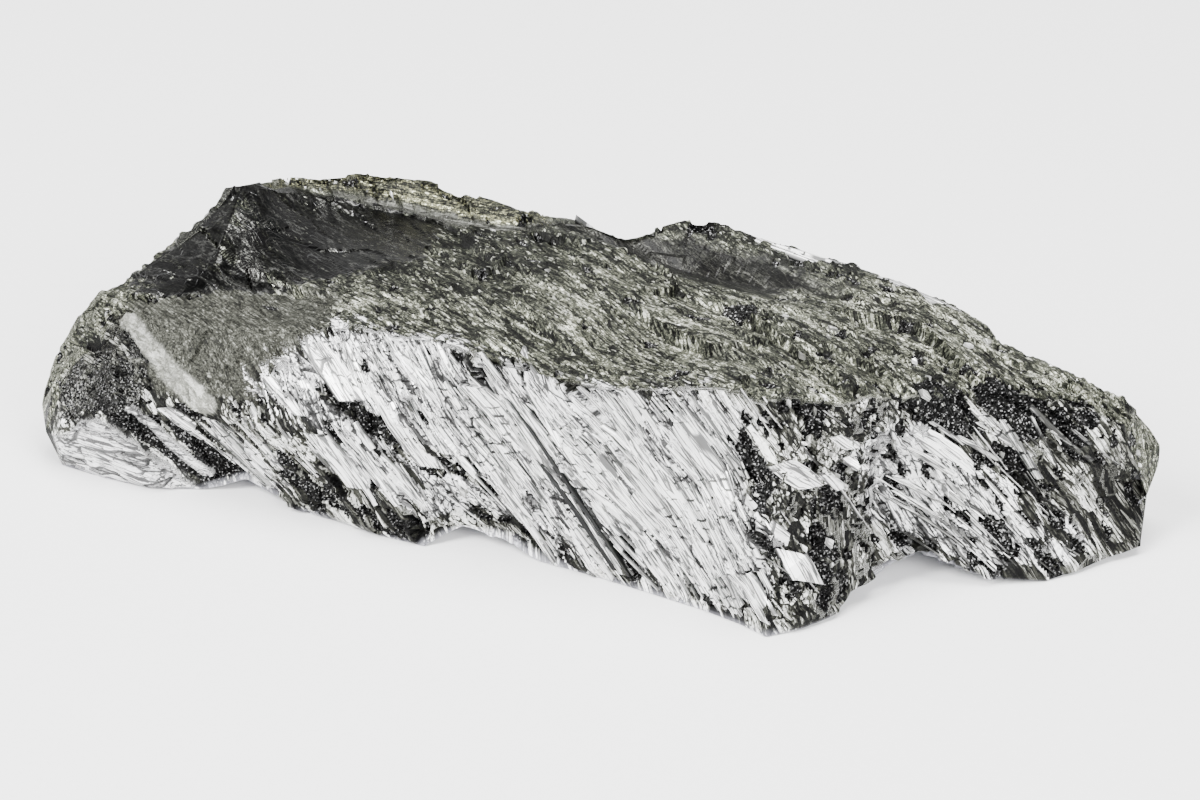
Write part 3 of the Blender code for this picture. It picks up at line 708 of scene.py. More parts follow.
def hollow_relief(points):
    """Heights, all below zero, of the named hollows: a bell curve of the distance from the
    middle, divided by the reach along and across the axis."""
    depth = np.zeros(len(points))
    for middle, axis, along, across, deep in HOLLOWS:
        offset = points - stretched(middle)
        run = offset @ unit(axis)
        side = np.sqrt(np.maximum((offset ** 2).sum(axis=1) - run ** 2, 0.0))
        depth -= deep * np.exp(-BELL * ((run / along) ** 2 + (side / across) ** 2))
    return depth


def relief_room(station, points):
    """The share of the relief that the surface takes: none at the sole and at the bare tips."""
    over_sole = np.clip(points[:, 2] / SOLE_BAND, 0.0, 1.0)
    from_tip = np.clip((np.minimum(station, 1.0 - station) - BARE_TIP) / TIP_BAND, 0.0, 1.0)
    return over_sole * from_tip


def faceted(station, column):
    """Points of the hull moved along its normals by the facets and the hollows alone, which is
    what blades and plates lie on, and those normals."""
    points, normals, _, _ = hull_frame(station, column)
    relief = facet_relief(points, normals) + hollow_relief(points)
    return points + normals * (relief * relief_room(station, points))[:, None], normals


# Zones ----------------------------------------------------------------


def on_plan(station, column):
    """Stations and columns as millimetres on a flat plan of the surface."""
    return np.stack([station, column], axis=-1) * np.array(SPAN_MM)


def edge_distance(plan, start, end):
    """Distance on the plan to the straight line between two points, and the share along it."""
    run = end - start
    share = np.clip(((plan - start) @ run) / (run @ run), 0.0, 1.0)
    return np.linalg.norm(plan - start - share[:, None] * run, axis=1), share


def inside(plan, outline):
    """Signed distance in mm to an outline: positive inside, by counting the edges crossed."""
    corners = np.asarray(outline) * np.array(SPAN_MM)
    crossed = np.zeros(len(plan), dtype=int)
    nearest = np.full(len(plan), 1e9)
    for start, end in zip(corners, np.roll(corners, -1, axis=0)):
        nearest = np.minimum(nearest, edge_distance(plan, start, end)[0])
        spans = (start[1] > plan[:, 1]) != (end[1] > plan[:, 1])
        level = (plan[:, 1] - start[1]) / (end[1] - start[1] + 1e-12)
        crossed += spans & (plan[:, 0] < start[0] + level * (end[0] - start[0]))
    return np.where(crossed % 2 == 1, nearest, -nearest)


def zone(name, station, column, ragged=0.0):
    """How far a point is in a zone, from 0 to 1: a smooth step of the signed distance, over the
    zone's own softness. Ragged adds to the distance, so that the edge wanders."""
    softness, outline = ZONES[name]
    wrapped = np.where(column > WRAP_COLUMN, column - RAIL_COUNT, column)
    distance = inside(on_plan(station, wrapped), outline) + ragged
    return smooth(-softness, softness, distance)


def band(station, column, start, end, near, far, ragged=0.0):
    """A straight band from 0 to 1: a smooth step where the distance to its line passes its half
    width, which goes from near at its start to far at its end."""
    ends = np.array([start, end]) * np.array(SPAN_MM)
    distance, share = edge_distance(on_plan(station, column), *ends)
    return smooth(-BAND_EDGE, BAND_EDGE, near + (far - near) * share - distance + ragged)


def grain_frames():
    """The axes that grain is measured on in each part of the stone: along the crystals, across
    them and into the stone."""
    frames = {}
    for name, axis, deep in (
        ("blades", BLADE_AXIS, (0.0, -1.0, 0.0)),
        ("sheets", SHEET_AXIS, (0.0, 0.0, 1.0)),
        ("level", LEVEL_AXIS, (0.0, -1.0, 0.0)),
        ("strip", STRIP_AXIS, (0.0, -1.0, 0.0)),
        ("right", laid_in(BLADE_AXIS, unit(RIGHT_FACE)[None, :])[0], RIGHT_FACE),
        ("left_end", laid_in(BLADE_AXIS, unit(LEFT_LOOK)[None, :])[0], LEFT_LOOK),
        ("right_end", laid_in(BLADE_AXIS, unit(RIGHT_LOOK)[None, :])[0], RIGHT_LOOK),
    ):
        along = unit(axis)
        deep = laid_in(deep, along[None, :])[0]
        frames[name] = np.stack([along, np.cross(deep, along), deep])
    return frames


def surface_zones(station, column, points, normals):
    """Every zone's share at each point, with ragged edges, and the place of the grain there: mm
    along the crystals, across them and into the stone."""
    frames = grain_frames()
    on_blades = points @ frames["blades"].T
    ragged = sum(
        (value_noise(on_blades * stretch, salt) - 0.5) * reach for stretch, salt, reach in WANDERS
    )

    def wander(name):
        """How far an edge wanders at each point."""
        return ragged * EDGE_WANDER.get(name, 1.0)

    def bands(name, rows):
        """The most that any of some straight bands covers each point."""
        return np.maximum.reduce([band(station, column, *row, wander(name)) for row in rows])

    shares = {name: zone(name, station, column, wander(name)) for name in ZONES}
    top_column = (column > TOP_COLUMNS[0]) * (column < TOP_COLUMNS[1])
    shares["top"] = smooth(*TOP_FADE, normals[:, 2] + wander("top")) * top_column
    strip = bands("silver_strip", [SILVER_STRIP])
    shares["dark_bands"] = bands("dark_bands", DARK_BANDS) * (1 - strip)
    shares["silver_left"] = np.maximum(shares["silver_left"] * (1 - shares["dark_bands"]), strip)
    shares["pale_band"] = bands("pale_band", [PALE_BAND])
    shares["belts"] = bands("belts", BELTS)
    shares["fleck_rows"] = bands("fleck_rows", FLECK_ROWS)
    shares["calm"] = 1 - smooth(*CALM_FADE, station)
    place = on_blades
    for is_here, frame in (
        (station + wander("right") > RIGHT_START, "right"),
        (normals[:, 0] + wander("left_end") < LEFT_NORMAL_X, "left_end"),
        (normals[:, 0] + wander("right_end") > RIGHT_NORMAL_X, "right_end"),
        (shares["top"] > 0.5, "sheets"),
        (shares["silver_left"] > 0.5, "level"),
        (np.maximum(shares["brassy"], shares["smooth_band"]) > 0.5, "strip"),
    ):
        place = np.where(is_here[:, None], points @ frames[frame].T, place)
    return shares, place


def zones_at(station, column):
    """The hull's points at stations and columns, with every zone's share and the place of the
    grain there."""
    points, normals, _, _ = hull_frame(station, column)
    return (points, *surface_zones(station, column, points, normals))


def by_zone(shares, plain, levels):
    """A number at each point: the plain one, taken towards each zone's own by its share, the
    later zones over the earlier ones."""
    number = np.full(len(shares["top"]), float(plain))
    for name, level in levels:
        number += (level - number) * shares[name]
    return number


def dark_cells(shares, place):
    """How dark and sunken each point is, from 0 to 1: stretched shares of space whose own number
    is under the zones' chance, in a coarse and a fine size, fading to 0 at the thin walls between
    them, and the dark bands. The coarse size is for the right face, the notch and the cheek."""
    chance = by_zone(shares, PLAIN_DARK, DARK_CHANCES)
    coarse = 0.25 + 0.75 * np.maximum.reduce(
        [shares["pits_right"], shares["notch"], 0.7 * shares["cells_left"]]
    )
    mask = np.zeros(len(place))
    for (size, salt), weight in ((COARSE_CELL, coarse), (FINE_CELL, 1.0 - 0.5 * coarse)):
        warp = [value_noise(place / WARP_SIZE, salt + k) for k in (5, 6, 7)]
        warp = np.stack(warp, axis=1) - 0.5
        number, wall = cell_noise((place * CELL_STRETCH + warp * WARP_REACH) / size, salt)
        open_cell = number < chance * weight
        mask = np.maximum(mask, open_cell * smooth(*CELL_WALL, wall))
    mask = np.where(chance > SURELY_DARK, 1.0, mask)
    return np.maximum(mask, shares["dark_bands"])


def ledges(place, salt):
    """Low shingles, from 0 to 1: a slow noise cut into steps, less the noise itself, so that each
    shingle slopes down from a sharp edge."""
    slow = value_noise(place * (0.055, 0.17, 0.17), salt) * 0.6
    slow += value_noise(place * (0.12, 0.42, 0.42), salt + 1) * 0.4
    height = slow * LEDGE_STEPS
    base = np.floor(height)
    return base + smooth(0.0, LEDGE_EDGE, height - base) - height


def fine_relief(place, shares, dark):
    """Small heights in mm: ledges, splinters stretched along the crystals, sugary grains, and
    the depth of the dark cells."""
    splinter = cell_noise(place * (0.16, 1.1, 1.1), 31)[0] - 0.5
    grain = cell_noise(place / 0.6, 41)[0] - 0.5
    lively_top = TOP_LEDGE_HEIGHT * shares["top"] * (1 - shares["grey_slope"])
    stepped = LEDGE_HEIGHT + lively_top * (1 - shares["calm"])
    heights = splinter * SPLINTER_HEIGHT + grain * GRAIN_HEIGHT + ledges(place, 51) * stepped
    quiet = 1 - 0.88 * np.maximum.reduce([shares[name] for name in QUIET_ZONES])
    quiet = quiet * (1 - 0.6 * np.maximum(shares["cells_left"], shares["dark_bands"]))
    return heights * quiet - dark * (CELL_DEPTH - BAND_LESS_DEEP * shares["dark_bands"])


def surface(station, column, with_fine=True):
    """The finished surface at any stations and columns: the hull, moved along its normal by the
    facets, the hollows and the fine relief. Gives points, normals, zones, grain and dark."""
    points, normals, _, _ = hull_frame(station, column)
    shares, place = surface_zones(station, column, points, normals)
    dark = dark_cells(shares, place)
    polish = 1 - POLISH * np.maximum.reduce([shares[name] for name in SMOOTH_ZONES])
    relief = facet_relief(points, normals) * polish + hollow_relief(points)
    if with_fine:
        relief = relief + fine_relief(place, shares, dark)
    moved = points + normals * (relief * relief_room(station, points))[:, None]
    moved[:, 2] = np.maximum(moved[:, 2], 0.0)
    return moved, normals, shares, place, dark


# Meshes ---------------------------------------------------------------


def new_piece(name, points, faces, material):
    """A mesh object at the origin from points in mm and faces of point numbers. It rides on the
    stone's body and takes the material it is given."""
    mesh = bpy.data.meshes.new(name)
    mesh.from_pydata((points * MM).tolist(), [], [list(face) for face in faces])
    mesh.update()
    piece = bpy.data.objects.new(name, mesh)
    bpy.context.scene.collection.objects.link(piece)
    mesh.materials.append(material)
    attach(piece, BODY)
    return piece


def keep_attribute(piece, name, kind, values):
    """Writes one value for each point of a piece's mesh, as an attribute that materials read."""
    layer = piece.data.attributes.new(name, kind, "POINT")
    field = {"FLOAT": "value", "FLOAT_VECTOR": "vector", "FLOAT_COLOR": "color"}[kind]
    layer.data.foreach_set(field, np.ascontiguousarray(values, dtype=np.float32).ravel())


def skin_mesh():
    """A closed grid over the whole stone: rows at even stations, columns in a ring round the
    rails, and one point at each end. Gives stations, columns and faces."""
    shares = np.linspace(0.0, 1.0, SKIN_STATIONS + 1)[1:-1]
    ring = np.concatenate([k + np.arange(n) / n for k, n in enumerate(SKIN_COLUMNS)])
    stations, columns = np.meshgrid(shares, ring, indexing="ij")
    rows, around = stations.shape
    number = np.arange(rows * around).reshape(rows, around)
    ahead = np.roll(number, -1, axis=1)
    quads = np.stack([number[:-1], number[1:], ahead[1:], ahead[:-1]], axis=-1).reshape(-1, 4)
    left, right = rows * around, rows * around + 1
    near = [(left, first, second) for first, second in zip(number[0], ahead[0])]
    far = [(right, second, first) for first, second in zip(number[-1], ahead[-1])]
    stations = np.concatenate([stations.ravel(), [0.0, 1.0]])
    columns = np.concatenate([columns.ravel(), [0.0, 0.0]])
    return stations, columns, quads.tolist() + near + far


def broken_skin(material):
    """The stone's whole surface, as one closed mesh that stands for the solid."""
    stations, columns, faces = skin_mesh()
    points, normals, shares, place, dark = surface(stations, columns)
    piece = new_piece("broken_skin", points, faces, material)
    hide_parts(STONE)
    front = shares["silver_front"] * (1 - 0.8 * shares["belts"])
    silver = np.maximum.reduce([front, shares["silver_wedge"], shares["silver_right"]])
    olive_top = smooth(*OLIVE_FADE, columns) * (columns < LAST_OLIVE_COLUMN)
    olive_end = smooth(*END_FADE, -normals[:, 0]) * (columns > FIRST_END_COLUMN)
    olive = np.maximum.reduce([shares["top"], olive_top, olive_end])
    olive = olive * (1 - 0.8 * shares["grey_slope"]) * (1 - shares["cells_left"])
    layers = dict(
        shares, silver=silver, olive=olive, dark=dark,
        smooth_parts=np.maximum(shares["smooth_band"], shares["scoop"]),
        tone=value_noise(points * 0.09, 71) * 0.6 + value_noise(points * 0.31, 72) * 0.4,
        # Painted light: faces are painted pale by how far their normal looks down.
        under=smooth(*UNDERSIDE_LIGHT_FADE, -normals[:, 2]),
        # Painted light: the back face is painted brighter, in place of a lamp behind the stone.
        back=smooth(*BACK_LIGHT_FADE_IN, columns) * smooth(*BACK_LIGHT_FADE_OUT, columns),
    )
    keep_attribute(piece, "grain_place", "FLOAT_VECTOR", place)
    keep_attribute(piece, "fleck_rows", "FLOAT", layers["fleck_rows"])
    keep_attribute(piece, "back_light_lift", "FLOAT", layers["back"])
    for label, names in SKIN_LAYERS.items():
        values = np.stack([layers[name] for name in names], axis=1)
        keep_attribute(piece, label, "FLOAT_COLOR", values)


# Blades ---------------------------------------------------------------


def blade_axes():
    """The two axes that blades are laid out on: along them and across them."""
    return grain_frames()["blades"][:2]


def side_grid(side, rows, rings):
    """Stations and columns of an even grid over a side, and its places along and across."""
    grid = np.meshgrid(np.linspace(*SEARCHED_STATIONS, rows), np.linspace(*SIDES[side], rings))
    stations, columns = (values.ravel() for values in grid)
    return stations, columns, hull_point(stations, columns) @ blade_axes().T


def found_on(side, along, across, guess=None):
    """The station and column where a side of the hull stands at places along and across the
    grain: from a guess, or the nearest point of a coarse grid, by Newton steps on the two."""
    axes = blade_axes()
    target = np.stack([along, across], axis=1)
    if guess is None:
        stations, columns, known = side_grid(side, *START_GRID)
        gap = (known ** 2).sum(axis=1) - 2 * target @ known.T
        nearest = gap.argmin(axis=1)
        guess = (stations[nearest], columns[nearest])
    station, column = guess
    furthest, highest = LONGEST_STEP
    for _ in range(SEARCH_STEPS):
        points, _, run, rise = hull_frame(station, column)
        miss = target - points @ axes.T
        runs, rises = run @ axes.T, rise @ axes.T
        area = runs[:, 0] * rises[:, 1] - rises[:, 0] * runs[:, 1]
        least = np.where(area < 0, -LEAST_AREA, LEAST_AREA)
        area = np.where(np.abs(area) < LEAST_AREA, least, area)
        ahead = (miss[:, 0] * rises[:, 1] - rises[:, 0] * miss[:, 1]) / area
        round_it = (runs[:, 0] * miss[:, 1] - miss[:, 0] * runs[:, 1]) / area
        station = np.clip(station + np.clip(ahead, -furthest, furthest), *HELD_STATIONS)
        column = np.clip(column + np.clip(round_it, -highest, highest), *SIDES[side])
    miss = target - hull_point(station, column) @ axes.T
    return station, column, np.linalg.norm(miss, axis=1)


def lanes(side, widths, lengths, draw):
    """Starts, ends, places across and widths of blades in lanes: lanes lie side by side across
    the grain, each cut along itself into lengths, with its first cut at random."""
    known = side_grid(side, *LANE_GRID)[2]
    lowest, highest = known.min(axis=0), known.max(axis=0)
    lane_widths = draw.uniform(*widths, int((highest[1] - lowest[1]) / widths[0]) + 2)
    lane_places = lowest[1] + np.cumsum(lane_widths) - lane_widths / 2
    lane_count = int((lane_places < highest[1]).sum())
    lane_widths, lane_places = lane_widths[:lane_count], lane_places[:lane_count]
    cuts = int((highest[0] - lowest[0]) / lengths[0]) + 2
    runs = draw.uniform(*lengths, (lane_count, cuts))
    starts = lowest[0] - draw.uniform(0, lengths[1], (lane_count, 1))
    starts = starts + np.concatenate([np.zeros((lane_count, 1)), np.cumsum(runs, axis=1)], axis=1)
    heads, tails = starts[:, :-1].ravel(), starts[:, 1:].ravel()
    return heads, tails, np.repeat(lane_places, cuts), np.repeat(lane_widths, cuts)


def blade_mesh(ends, widths, heights, rolls, slants, draw):
    """Closed blades as one array: a six point outline carried along each blade in sections. Ends
    are the two surface tracks, (count, sections, 3) places and normals. Each end is cut on a
    slant and drawn in. Gives points, faces, and for each point its place along and across."""
    places, normals = ends
    count, sections = places.shape[:2]
    shares = SECTION_SHARES[sections]
    straight = places[:, :1] + (places[:, -1:] - places[:, :1]) * shares
    middle = places * BLADE_BEND + straight * (1 - BLADE_BEND)
    line = unit(places[:, -1] - places[:, 0])[:, None, :]
    up = unit(normals.mean(axis=1))[:, None, :]
    up = unit(up - (up * line).sum(axis=2, keepdims=True) * line)
    side = np.cross(up, line)

    def drawn_in(amounts):
        """A factor for each section: 1, and at the two ends a number drawn from the range."""
        factors = np.ones((count, sections))
        factors[:, 0] = draw.uniform(*amounts, count)
        factors[:, -1] = draw.uniform(*amounts, count)
        return factors

    chamfer = draw.uniform(*CHAMFERS, (count, 2))
    drop = draw.uniform(*EDGE_DROPS, (count, 2))
    half, top = np.full(count, 0.5), np.ones(count)
    sideways = np.stack(
        [half, half, half - chamfer[:, 0], chamfer[:, 1] - half, -half, -half], axis=1
    ) * widths[:, None]
    upward = np.stack([top * 0, 1 - drop[:, 0], top, top, 1 - drop[:, 1], top * 0], axis=1)
    upward = upward * heights[:, None]
    upward[:, 1:5] += sideways[:, 1:5] * rolls[:, None]
    upward[:, (0, 5)] = -(ROOT_DEPTH + ROOT_SHARE * widths[:, None])
    taper = drawn_in(END_WIDTHS)
    lift = drawn_in(END_HEIGHTS)
    raised = upward[:, None, :]
    raised = np.where(raised > 0, raised * lift[..., None], raised)
    ends_only = np.zeros((1, sections, 1))
    ends_only[0, (0, -1), 0] = 1.0
    slant = slants[:, None, None] * sideways[:, None, :] * ends_only
    points = (
        middle[:, :, None, :]
        + side[:, :, None, :] * (sideways[:, None, :] * taper[..., None])[..., None]
        + up[:, :, None, :] * raised[..., None]
        + line[:, :, None, :] * slant[..., None]
    )
    length = np.linalg.norm(places[:, -1] - places[:, 0], axis=1)
    along = length[:, None] * shares[:, 0][None, :]
    along = np.broadcast_to(along[:, :, None] + slant, (count, sections, OUTLINE))
    # Painted shade: how much each outline point is darkened towards the blade's root.
    edge = np.broadcast_to(ROOT_SHADE_WEIGHTS, along.shape)
    arc = np.broadcast_to((sideways + upward * (sideways > 0))[:, None, :], along.shape)
    points = points.reshape(-1, 3)
    points[:, 2] = np.maximum(points[:, 2], LOWEST_BLADE)
    ring = np.arange(OUTLINE)
    ahead = (ring + 1) % OUTLINE
    quads = np.stack([ring, ahead, ahead + OUTLINE, ring + OUTLINE], axis=1)
    steps = np.arange(sections - 1)[:, None, None] * OUTLINE
    first_cap = np.array([(3, 2, 1, 0), (5, 4, 3, 0)])
    last_cap = np.array([(0, 1, 2, 3), (0, 3, 4, 5)]) + OUTLINE * (sections - 1)
    quads = np.concatenate([(quads[None] + steps).reshape(-1, 4), first_cap, last_cap])
    offsets = np.arange(count)[:, None, None] * (OUTLINE * sections)
    quads = (quads[None] + offsets).reshape(-1, 4)
    return points, quads, along.ravel(), arc.ravel(), edge.ravel()


def laid_blades(side, blades, draw, proud, sections):
    """Blades of one layer on a side: each lies on the surface between its two ends, turned by its
    own angle about its middle. Ones that miss the surface, leap across a hollow or reach onto the
    bare slope or a dark belt are left out."""
    heads, tails, across, widths, turns, middles = blades
    length = tails - heads
    middle = (heads + tails) / 2
    shares = SECTION_SHARES[sections][:, 0] - 0.5
    along = middle[:, None] + shares[None, :] * (length * np.cos(turns))[:, None]
    over = across[:, None] + shares[None, :] * (length * np.sin(turns))[:, None]
    guess = [np.repeat(values, sections) for values in middles]
    station, column, miss = found_on(side, along.ravel(), over.ravel(), guess)
    points, zones, _ = zones_at(station, column)
    ends = points.reshape(len(length), sections, 3)
    leap = np.linalg.norm(ends[:, -1] - ends[:, 0], axis=1) / length
    bare = np.maximum(zones["grey_slope"], zones["belts"])
    fine = (miss.reshape(along.shape).max(axis=1) < SECTION_MISS) & (leap < LONGEST_LEAP)
    fine &= bare.reshape(along.shape).max(axis=1) < 0.5
    station = station.reshape(along.shape)[fine]
    column = column.reshape(along.shape)[fine]
    tracks = [values.reshape(len(station), sections, 3)
              for values in faceted(station.ravel(), column.ravel())]
    widths = widths[fine]
    count = len(widths)
    heights = draw.uniform(*proud, count) * (0.5 + 0.5 * np.minimum(widths, WIDEST_FOR_HEIGHT))
    rolls = draw.normal(0.0, BLADE_ROLL, count)
    slants = draw.uniform(-BLADE_SLANT, BLADE_SLANT, count)
    mesh = blade_mesh(tracks, widths, heights, rolls, slants, draw)
    offset = np.stack([heads[fine], across[fine]], axis=1)
    return mesh, offset, station.mean(axis=1), column.mean(axis=1)


def wanted_blades(side, layer, share, draw):
    """One layer's heads, tails, across places, widths, turns and middles, after each zone has
    kept its own chance of them: fewer in the dark cells and none past the bare left end."""
    heads, tails, across, widths = lanes(side, layer["widths"], layer["lengths"], draw)
    middle = (heads + tails) / 2
    across = across + draw.normal(0.0, LANE_JITTER, len(across)) * widths
    station, column, miss = found_on(side, middle, across)
    points, shares, place = zones_at(station, column)
    wild = shares["notch"] * NOTCH_TURN + shares["pits_right"] * PITS_TURN + layer["turn"]
    turns = draw.normal(0.0, 1.0, len(middle)) * wild
    turns += (value_noise(points * 0.12, 81) - 0.5) * SLOW_TURN
    chance = by_zone(shares, PLAIN_BLADE, BLADE_CHANCES)
    chance = chance * (1 - 0.92 * dark_cells(shares, place)) * smooth(*FIRST_BLADES, station)
    wanted = draw.uniform(0, 1, len(middle)) < chance * (layer["share"] * share)
    keep = wanted & (miss < MIDDLE_MISS)
    keep &= (station > BLADE_STATIONS[0]) & (station < BLADE_STATIONS[1])
    cut = draw.uniform(*KEPT_LENGTH, len(middle)) * (tails - heads) / 2
    found = (middle - cut, middle + cut, across, widths, turns)
    return [values[keep] for values in found] + [(station[keep], column[keep])]


def joined(parts):
    """Meshes of points, faces and values put one after the other, with the faces renumbered."""
    starts = np.cumsum([0] + [len(part["points"]) for part in parts])
    whole = {name: np.concatenate([part[name] for part in parts]) for name in parts[0]}
    faces = [part["faces"] + start for part, start in zip(parts, starts)]
    whole["faces"] = np.concatenate(faces)
    return whole


def blade_tones(station, column, draw):
    """How bright each blade is, from 0 to 1: its zone's brightness, slow noise over the surface
    and its own chance."""
    points, shares, _ = zones_at(station, column)
    level = by_zone(shares, PLAIN_TONE, BLADE_TONES)
    slow = (value_noise(points * 0.20, 91) - 0.5) * SLOW_TONE
    return np.clip(level + slow + draw.normal(0.0, OWN_TONE, len(station)), 0.0, 1.0)


def blade_piece(name, side, layers, seed, share, material, plates):
    """All the blades of one side and its single plates, as one piece of closed prisms."""
    draw = np.random.default_rng(seed)
    parts = []
    for layer in layers:
        wanted = wanted_blades(side, layer, share, draw)
        mesh, offset, *middle = laid_blades(side, wanted, draw, layer["proud"], layer["sections"])
        parts.append(blade_part(mesh, offset, blade_tones(*middle, draw), draw))
    parts.extend(plate_part(plate, draw) for plate in plates)
    whole = joined(parts)
    piece = new_piece(name, whole["points"], whole["faces"], material)
    place = np.stack([whole["along"], whole["arc"], whole["salt"]], axis=1)
    keep_attribute(piece, "grain_place", "FLOAT_VECTOR", place)
    keep_attribute(piece, "tone", "FLOAT", whole["tone"])
    # The edge attribute carries the painted shade towards each blade's root.
    keep_attribute(piece, "edge", "FLOAT", whole["edge"])


def blade_part(mesh, offset, tones, draw):
    """One layer's arrays, with a salt for each blade so that no two have the same streaks. The
    offset takes each blade's own place along and across to the whole face's."""
    points, faces, along, arc, edge = mesh
    each = len(points) // max(len(tones), 1)
    salts = draw.uniform(0.0, SALT_RANGE, len(tones))
    return {
        "points": points, "faces": faces, "edge": edge,
        "along": along + np.repeat(offset[:, 0], each), "arc": arc + np.repeat(offset[:, 1], each),
        "salt": np.repeat(salts, each), "tone": np.repeat(tones, each),
    }


def plate_part(plate, draw):
    """A plate that stands out by itself, laid between two places on the surface."""
    start, end, width, proud, tone = plate
    shares = SECTION_SHARES[4][:, 0]
    station = start[0] + shares * (end[0] - start[0])
    column = start[1] + shares * (end[1] - start[1])
    places, normals = faceted(station, column)
    one = np.ones(1)
    mesh = blade_mesh((places[None], normals[None]), one * width, one * proud, one * PLATE_ROLL,
                      one * PLATE_SLANT, draw)
    return blade_part(mesh, places[:1] @ blade_axes().T, one * tone, draw)


# Chips and grains -----------------------------------------------------


def flake_mesh(places, normals, sizes, turns, draw):
    """Small closed flakes: a rhomb of four corners at angles 0, 90, 180 and 270 degrees and
    radii of their own, sunk under the surface, with a raised four cornered top that leans."""
    count = len(places)
    reference = laid_in(BLADE_AXIS, normals)
    across = np.cross(normals, reference)
    angles = turns[:, None] + np.arange(4)[None, :] * (math.pi / 2)
    radii = sizes[:, None] * draw.uniform(*FLAKE_RADII, (count, 4)) * FLAKE_SHAPE
    flat = (
        reference[:, None] * (np.cos(angles) * radii)[..., None]
        + across[:, None] * (np.sin(angles) * radii)[..., None]
    )
    rise = sizes[:, None] * draw.uniform(*FLAKE_HEIGHTS, (count, 4))
    low = places[:, None] + flat - normals[:, None] * FLAKE_ROOT
    high = places[:, None] + flat * FLAKE_TOP + normals[:, None] * rise[..., None]
    points = np.concatenate([low, high], axis=1).reshape(-1, 3)
    points[:, 2] = np.maximum(points[:, 2], LOWEST_BLADE)
    ring, ahead = np.arange(4), (np.arange(4) + 1) % 4
    sides = np.stack([ring, ahead, ahead + 4, ring + 4], axis=1)
    faces = np.concatenate([sides, [(4, 5, 6, 7), (3, 2, 1, 0)]])
    offsets = np.arange(count)[:, None, None] * 8
    return points, (faces[None] + offsets).reshape(-1, 4)


def scattered(count, zone_chances, columns, draw):
    """Places on the surface and their normals, spread evenly over stations and columns and kept
    by each zone's own chance."""
    station = draw.uniform(*FLAKE_STATIONS, count)
    column = draw.uniform(*columns, count)
    points, normals, shares, _, _ = surface(station, column, with_fine=False)
    chance = by_zone(shares, 0.0, zone_chances)
    keep = (draw.uniform(0, 1, count) < chance) & (points[:, 2] > LOWEST_FLAKE)
    return points[keep], normals[keep]


def flake_piece(name, count, zone_chances, columns, sizes, seed, material):
    """Flakes scattered over the surface as one piece of small closed solids. The sizes go with
    the cube of a chance, so that most are small."""
    draw = np.random.default_rng(seed)
    places, normals = scattered(count, zone_chances, columns, draw)
    size = sizes[0] + (sizes[1] - sizes[0]) * draw.uniform(0, 1, len(places)) ** 3
    turns = draw.normal(0.0, FLAKE_TURN, len(places))
    points, faces = flake_mesh(places, normals, size, turns, draw)
    piece = new_piece(name, points, faces, material)
    place = points @ grain_frames()["blades"].T
    place[:, 2] = np.repeat(draw.uniform(0, SALT_RANGE, len(places)), 8)
    keep_attribute(piece, "grain_place", "FLOAT_VECTOR", place)
    keep_attribute(piece, "tone", "FLOAT", np.repeat(draw.uniform(0, 1, len(places)), 8))


# Shader nodes ---------------------------------------------------------


def placed(tree, kind, inputs=None, **settings):
    """A node of a tree with its settings, each input linked to a socket or set to a value."""
    made = tree.nodes.new(kind)
    for name, value in settings.items():
        setattr(made, name, value)
    for key, value in (inputs or {}).items():
        if isinstance(value, bpy.types.NodeSocket):
            tree.links.new(value, made.inputs[key])
        else:
            made.inputs[key].default_value = value
    return made


def sums(tree, operation, first, second=0.0, clamp=False):
    """One sum of two numbers."""
    values = {0: first, 1: second}
    return placed(tree, "ShaderNodeMath", values, operation=operation, use_clamp=clamp).outputs[0]


def times(tree, first, second):
    """Two numbers multiplied."""
    return sums(tree, "MULTIPLY", first, second)


def weighed(tree, *terms):
    """The sum of values times their weights."""
    total = None
    for value, weight in terms:
        part = times(tree, value, weight)
        total = part if total is None else sums(tree, "ADD", total, part)
    return total


def ranged(tree, value, low, high, to_low=0.0, to_high=1.0):
    """A value's range from low to high, taken to another range and held inside it."""
    inputs = {"Value": value, 1: low, 2: high, 3: to_low, 4: to_high}
    return placed(tree, "ShaderNodeMapRange", inputs, interpolation_type="SMOOTHSTEP").outputs[0]


def stretched_by(tree, vector, factors, offset=(0.0, 0.0, 0.0)):
    """A vector times one factor for each axis, plus an offset."""
    inputs = {0: vector, 1: factors, 2: offset}
    return placed(tree, "ShaderNodeVectorMath", inputs, operation="MULTIPLY_ADD").outputs[0]


def noise(tree, vector, scale=1.0, detail=3.0, roughness=0.55, distortion=0.0):
    """Fractal noise from 0 to 1."""
    inputs = {
        "Vector": vector, "Scale": scale, "Detail": detail, "Roughness": roughness,
        "Distortion": distortion,
    }
    return placed(tree, "ShaderNodeTexNoise", inputs).outputs["Fac"]


def cells(tree, vector, scale=1.0, feature="F1"):
    """Cells of space round random points, as a Voronoi node."""
    inputs = {"Vector": vector, "Scale": scale}
    return placed(tree, "ShaderNodeTexVoronoi", inputs, feature=feature)


def blended(tree, share, first, second):
    """Two colours blended by a share from 0 to 1."""
    inputs = {0: share, 6: first, 7: second}
    return placed(tree, "ShaderNodeMix", inputs, data_type="RGBA").outputs[2]


def ramp(tree, value, stops):
    """A colour that runs through stops as a value goes from 0 to 1. A stop is its place, and a
    colour or the level and warmth of a near-grey."""
    made = placed(tree, "ShaderNodeValToRGB", {"Fac": value})
    elements = made.color_ramp.elements
    elements.remove(elements[0])
    for index, (place, *look) in enumerate(stops):
        stop = elements.new(place) if index else elements[0]
        stop.position = place
        stop.color = (*(look[0] if isinstance(look[0], tuple) else grey(*look)), 1.0)
    return made.outputs["Color"]


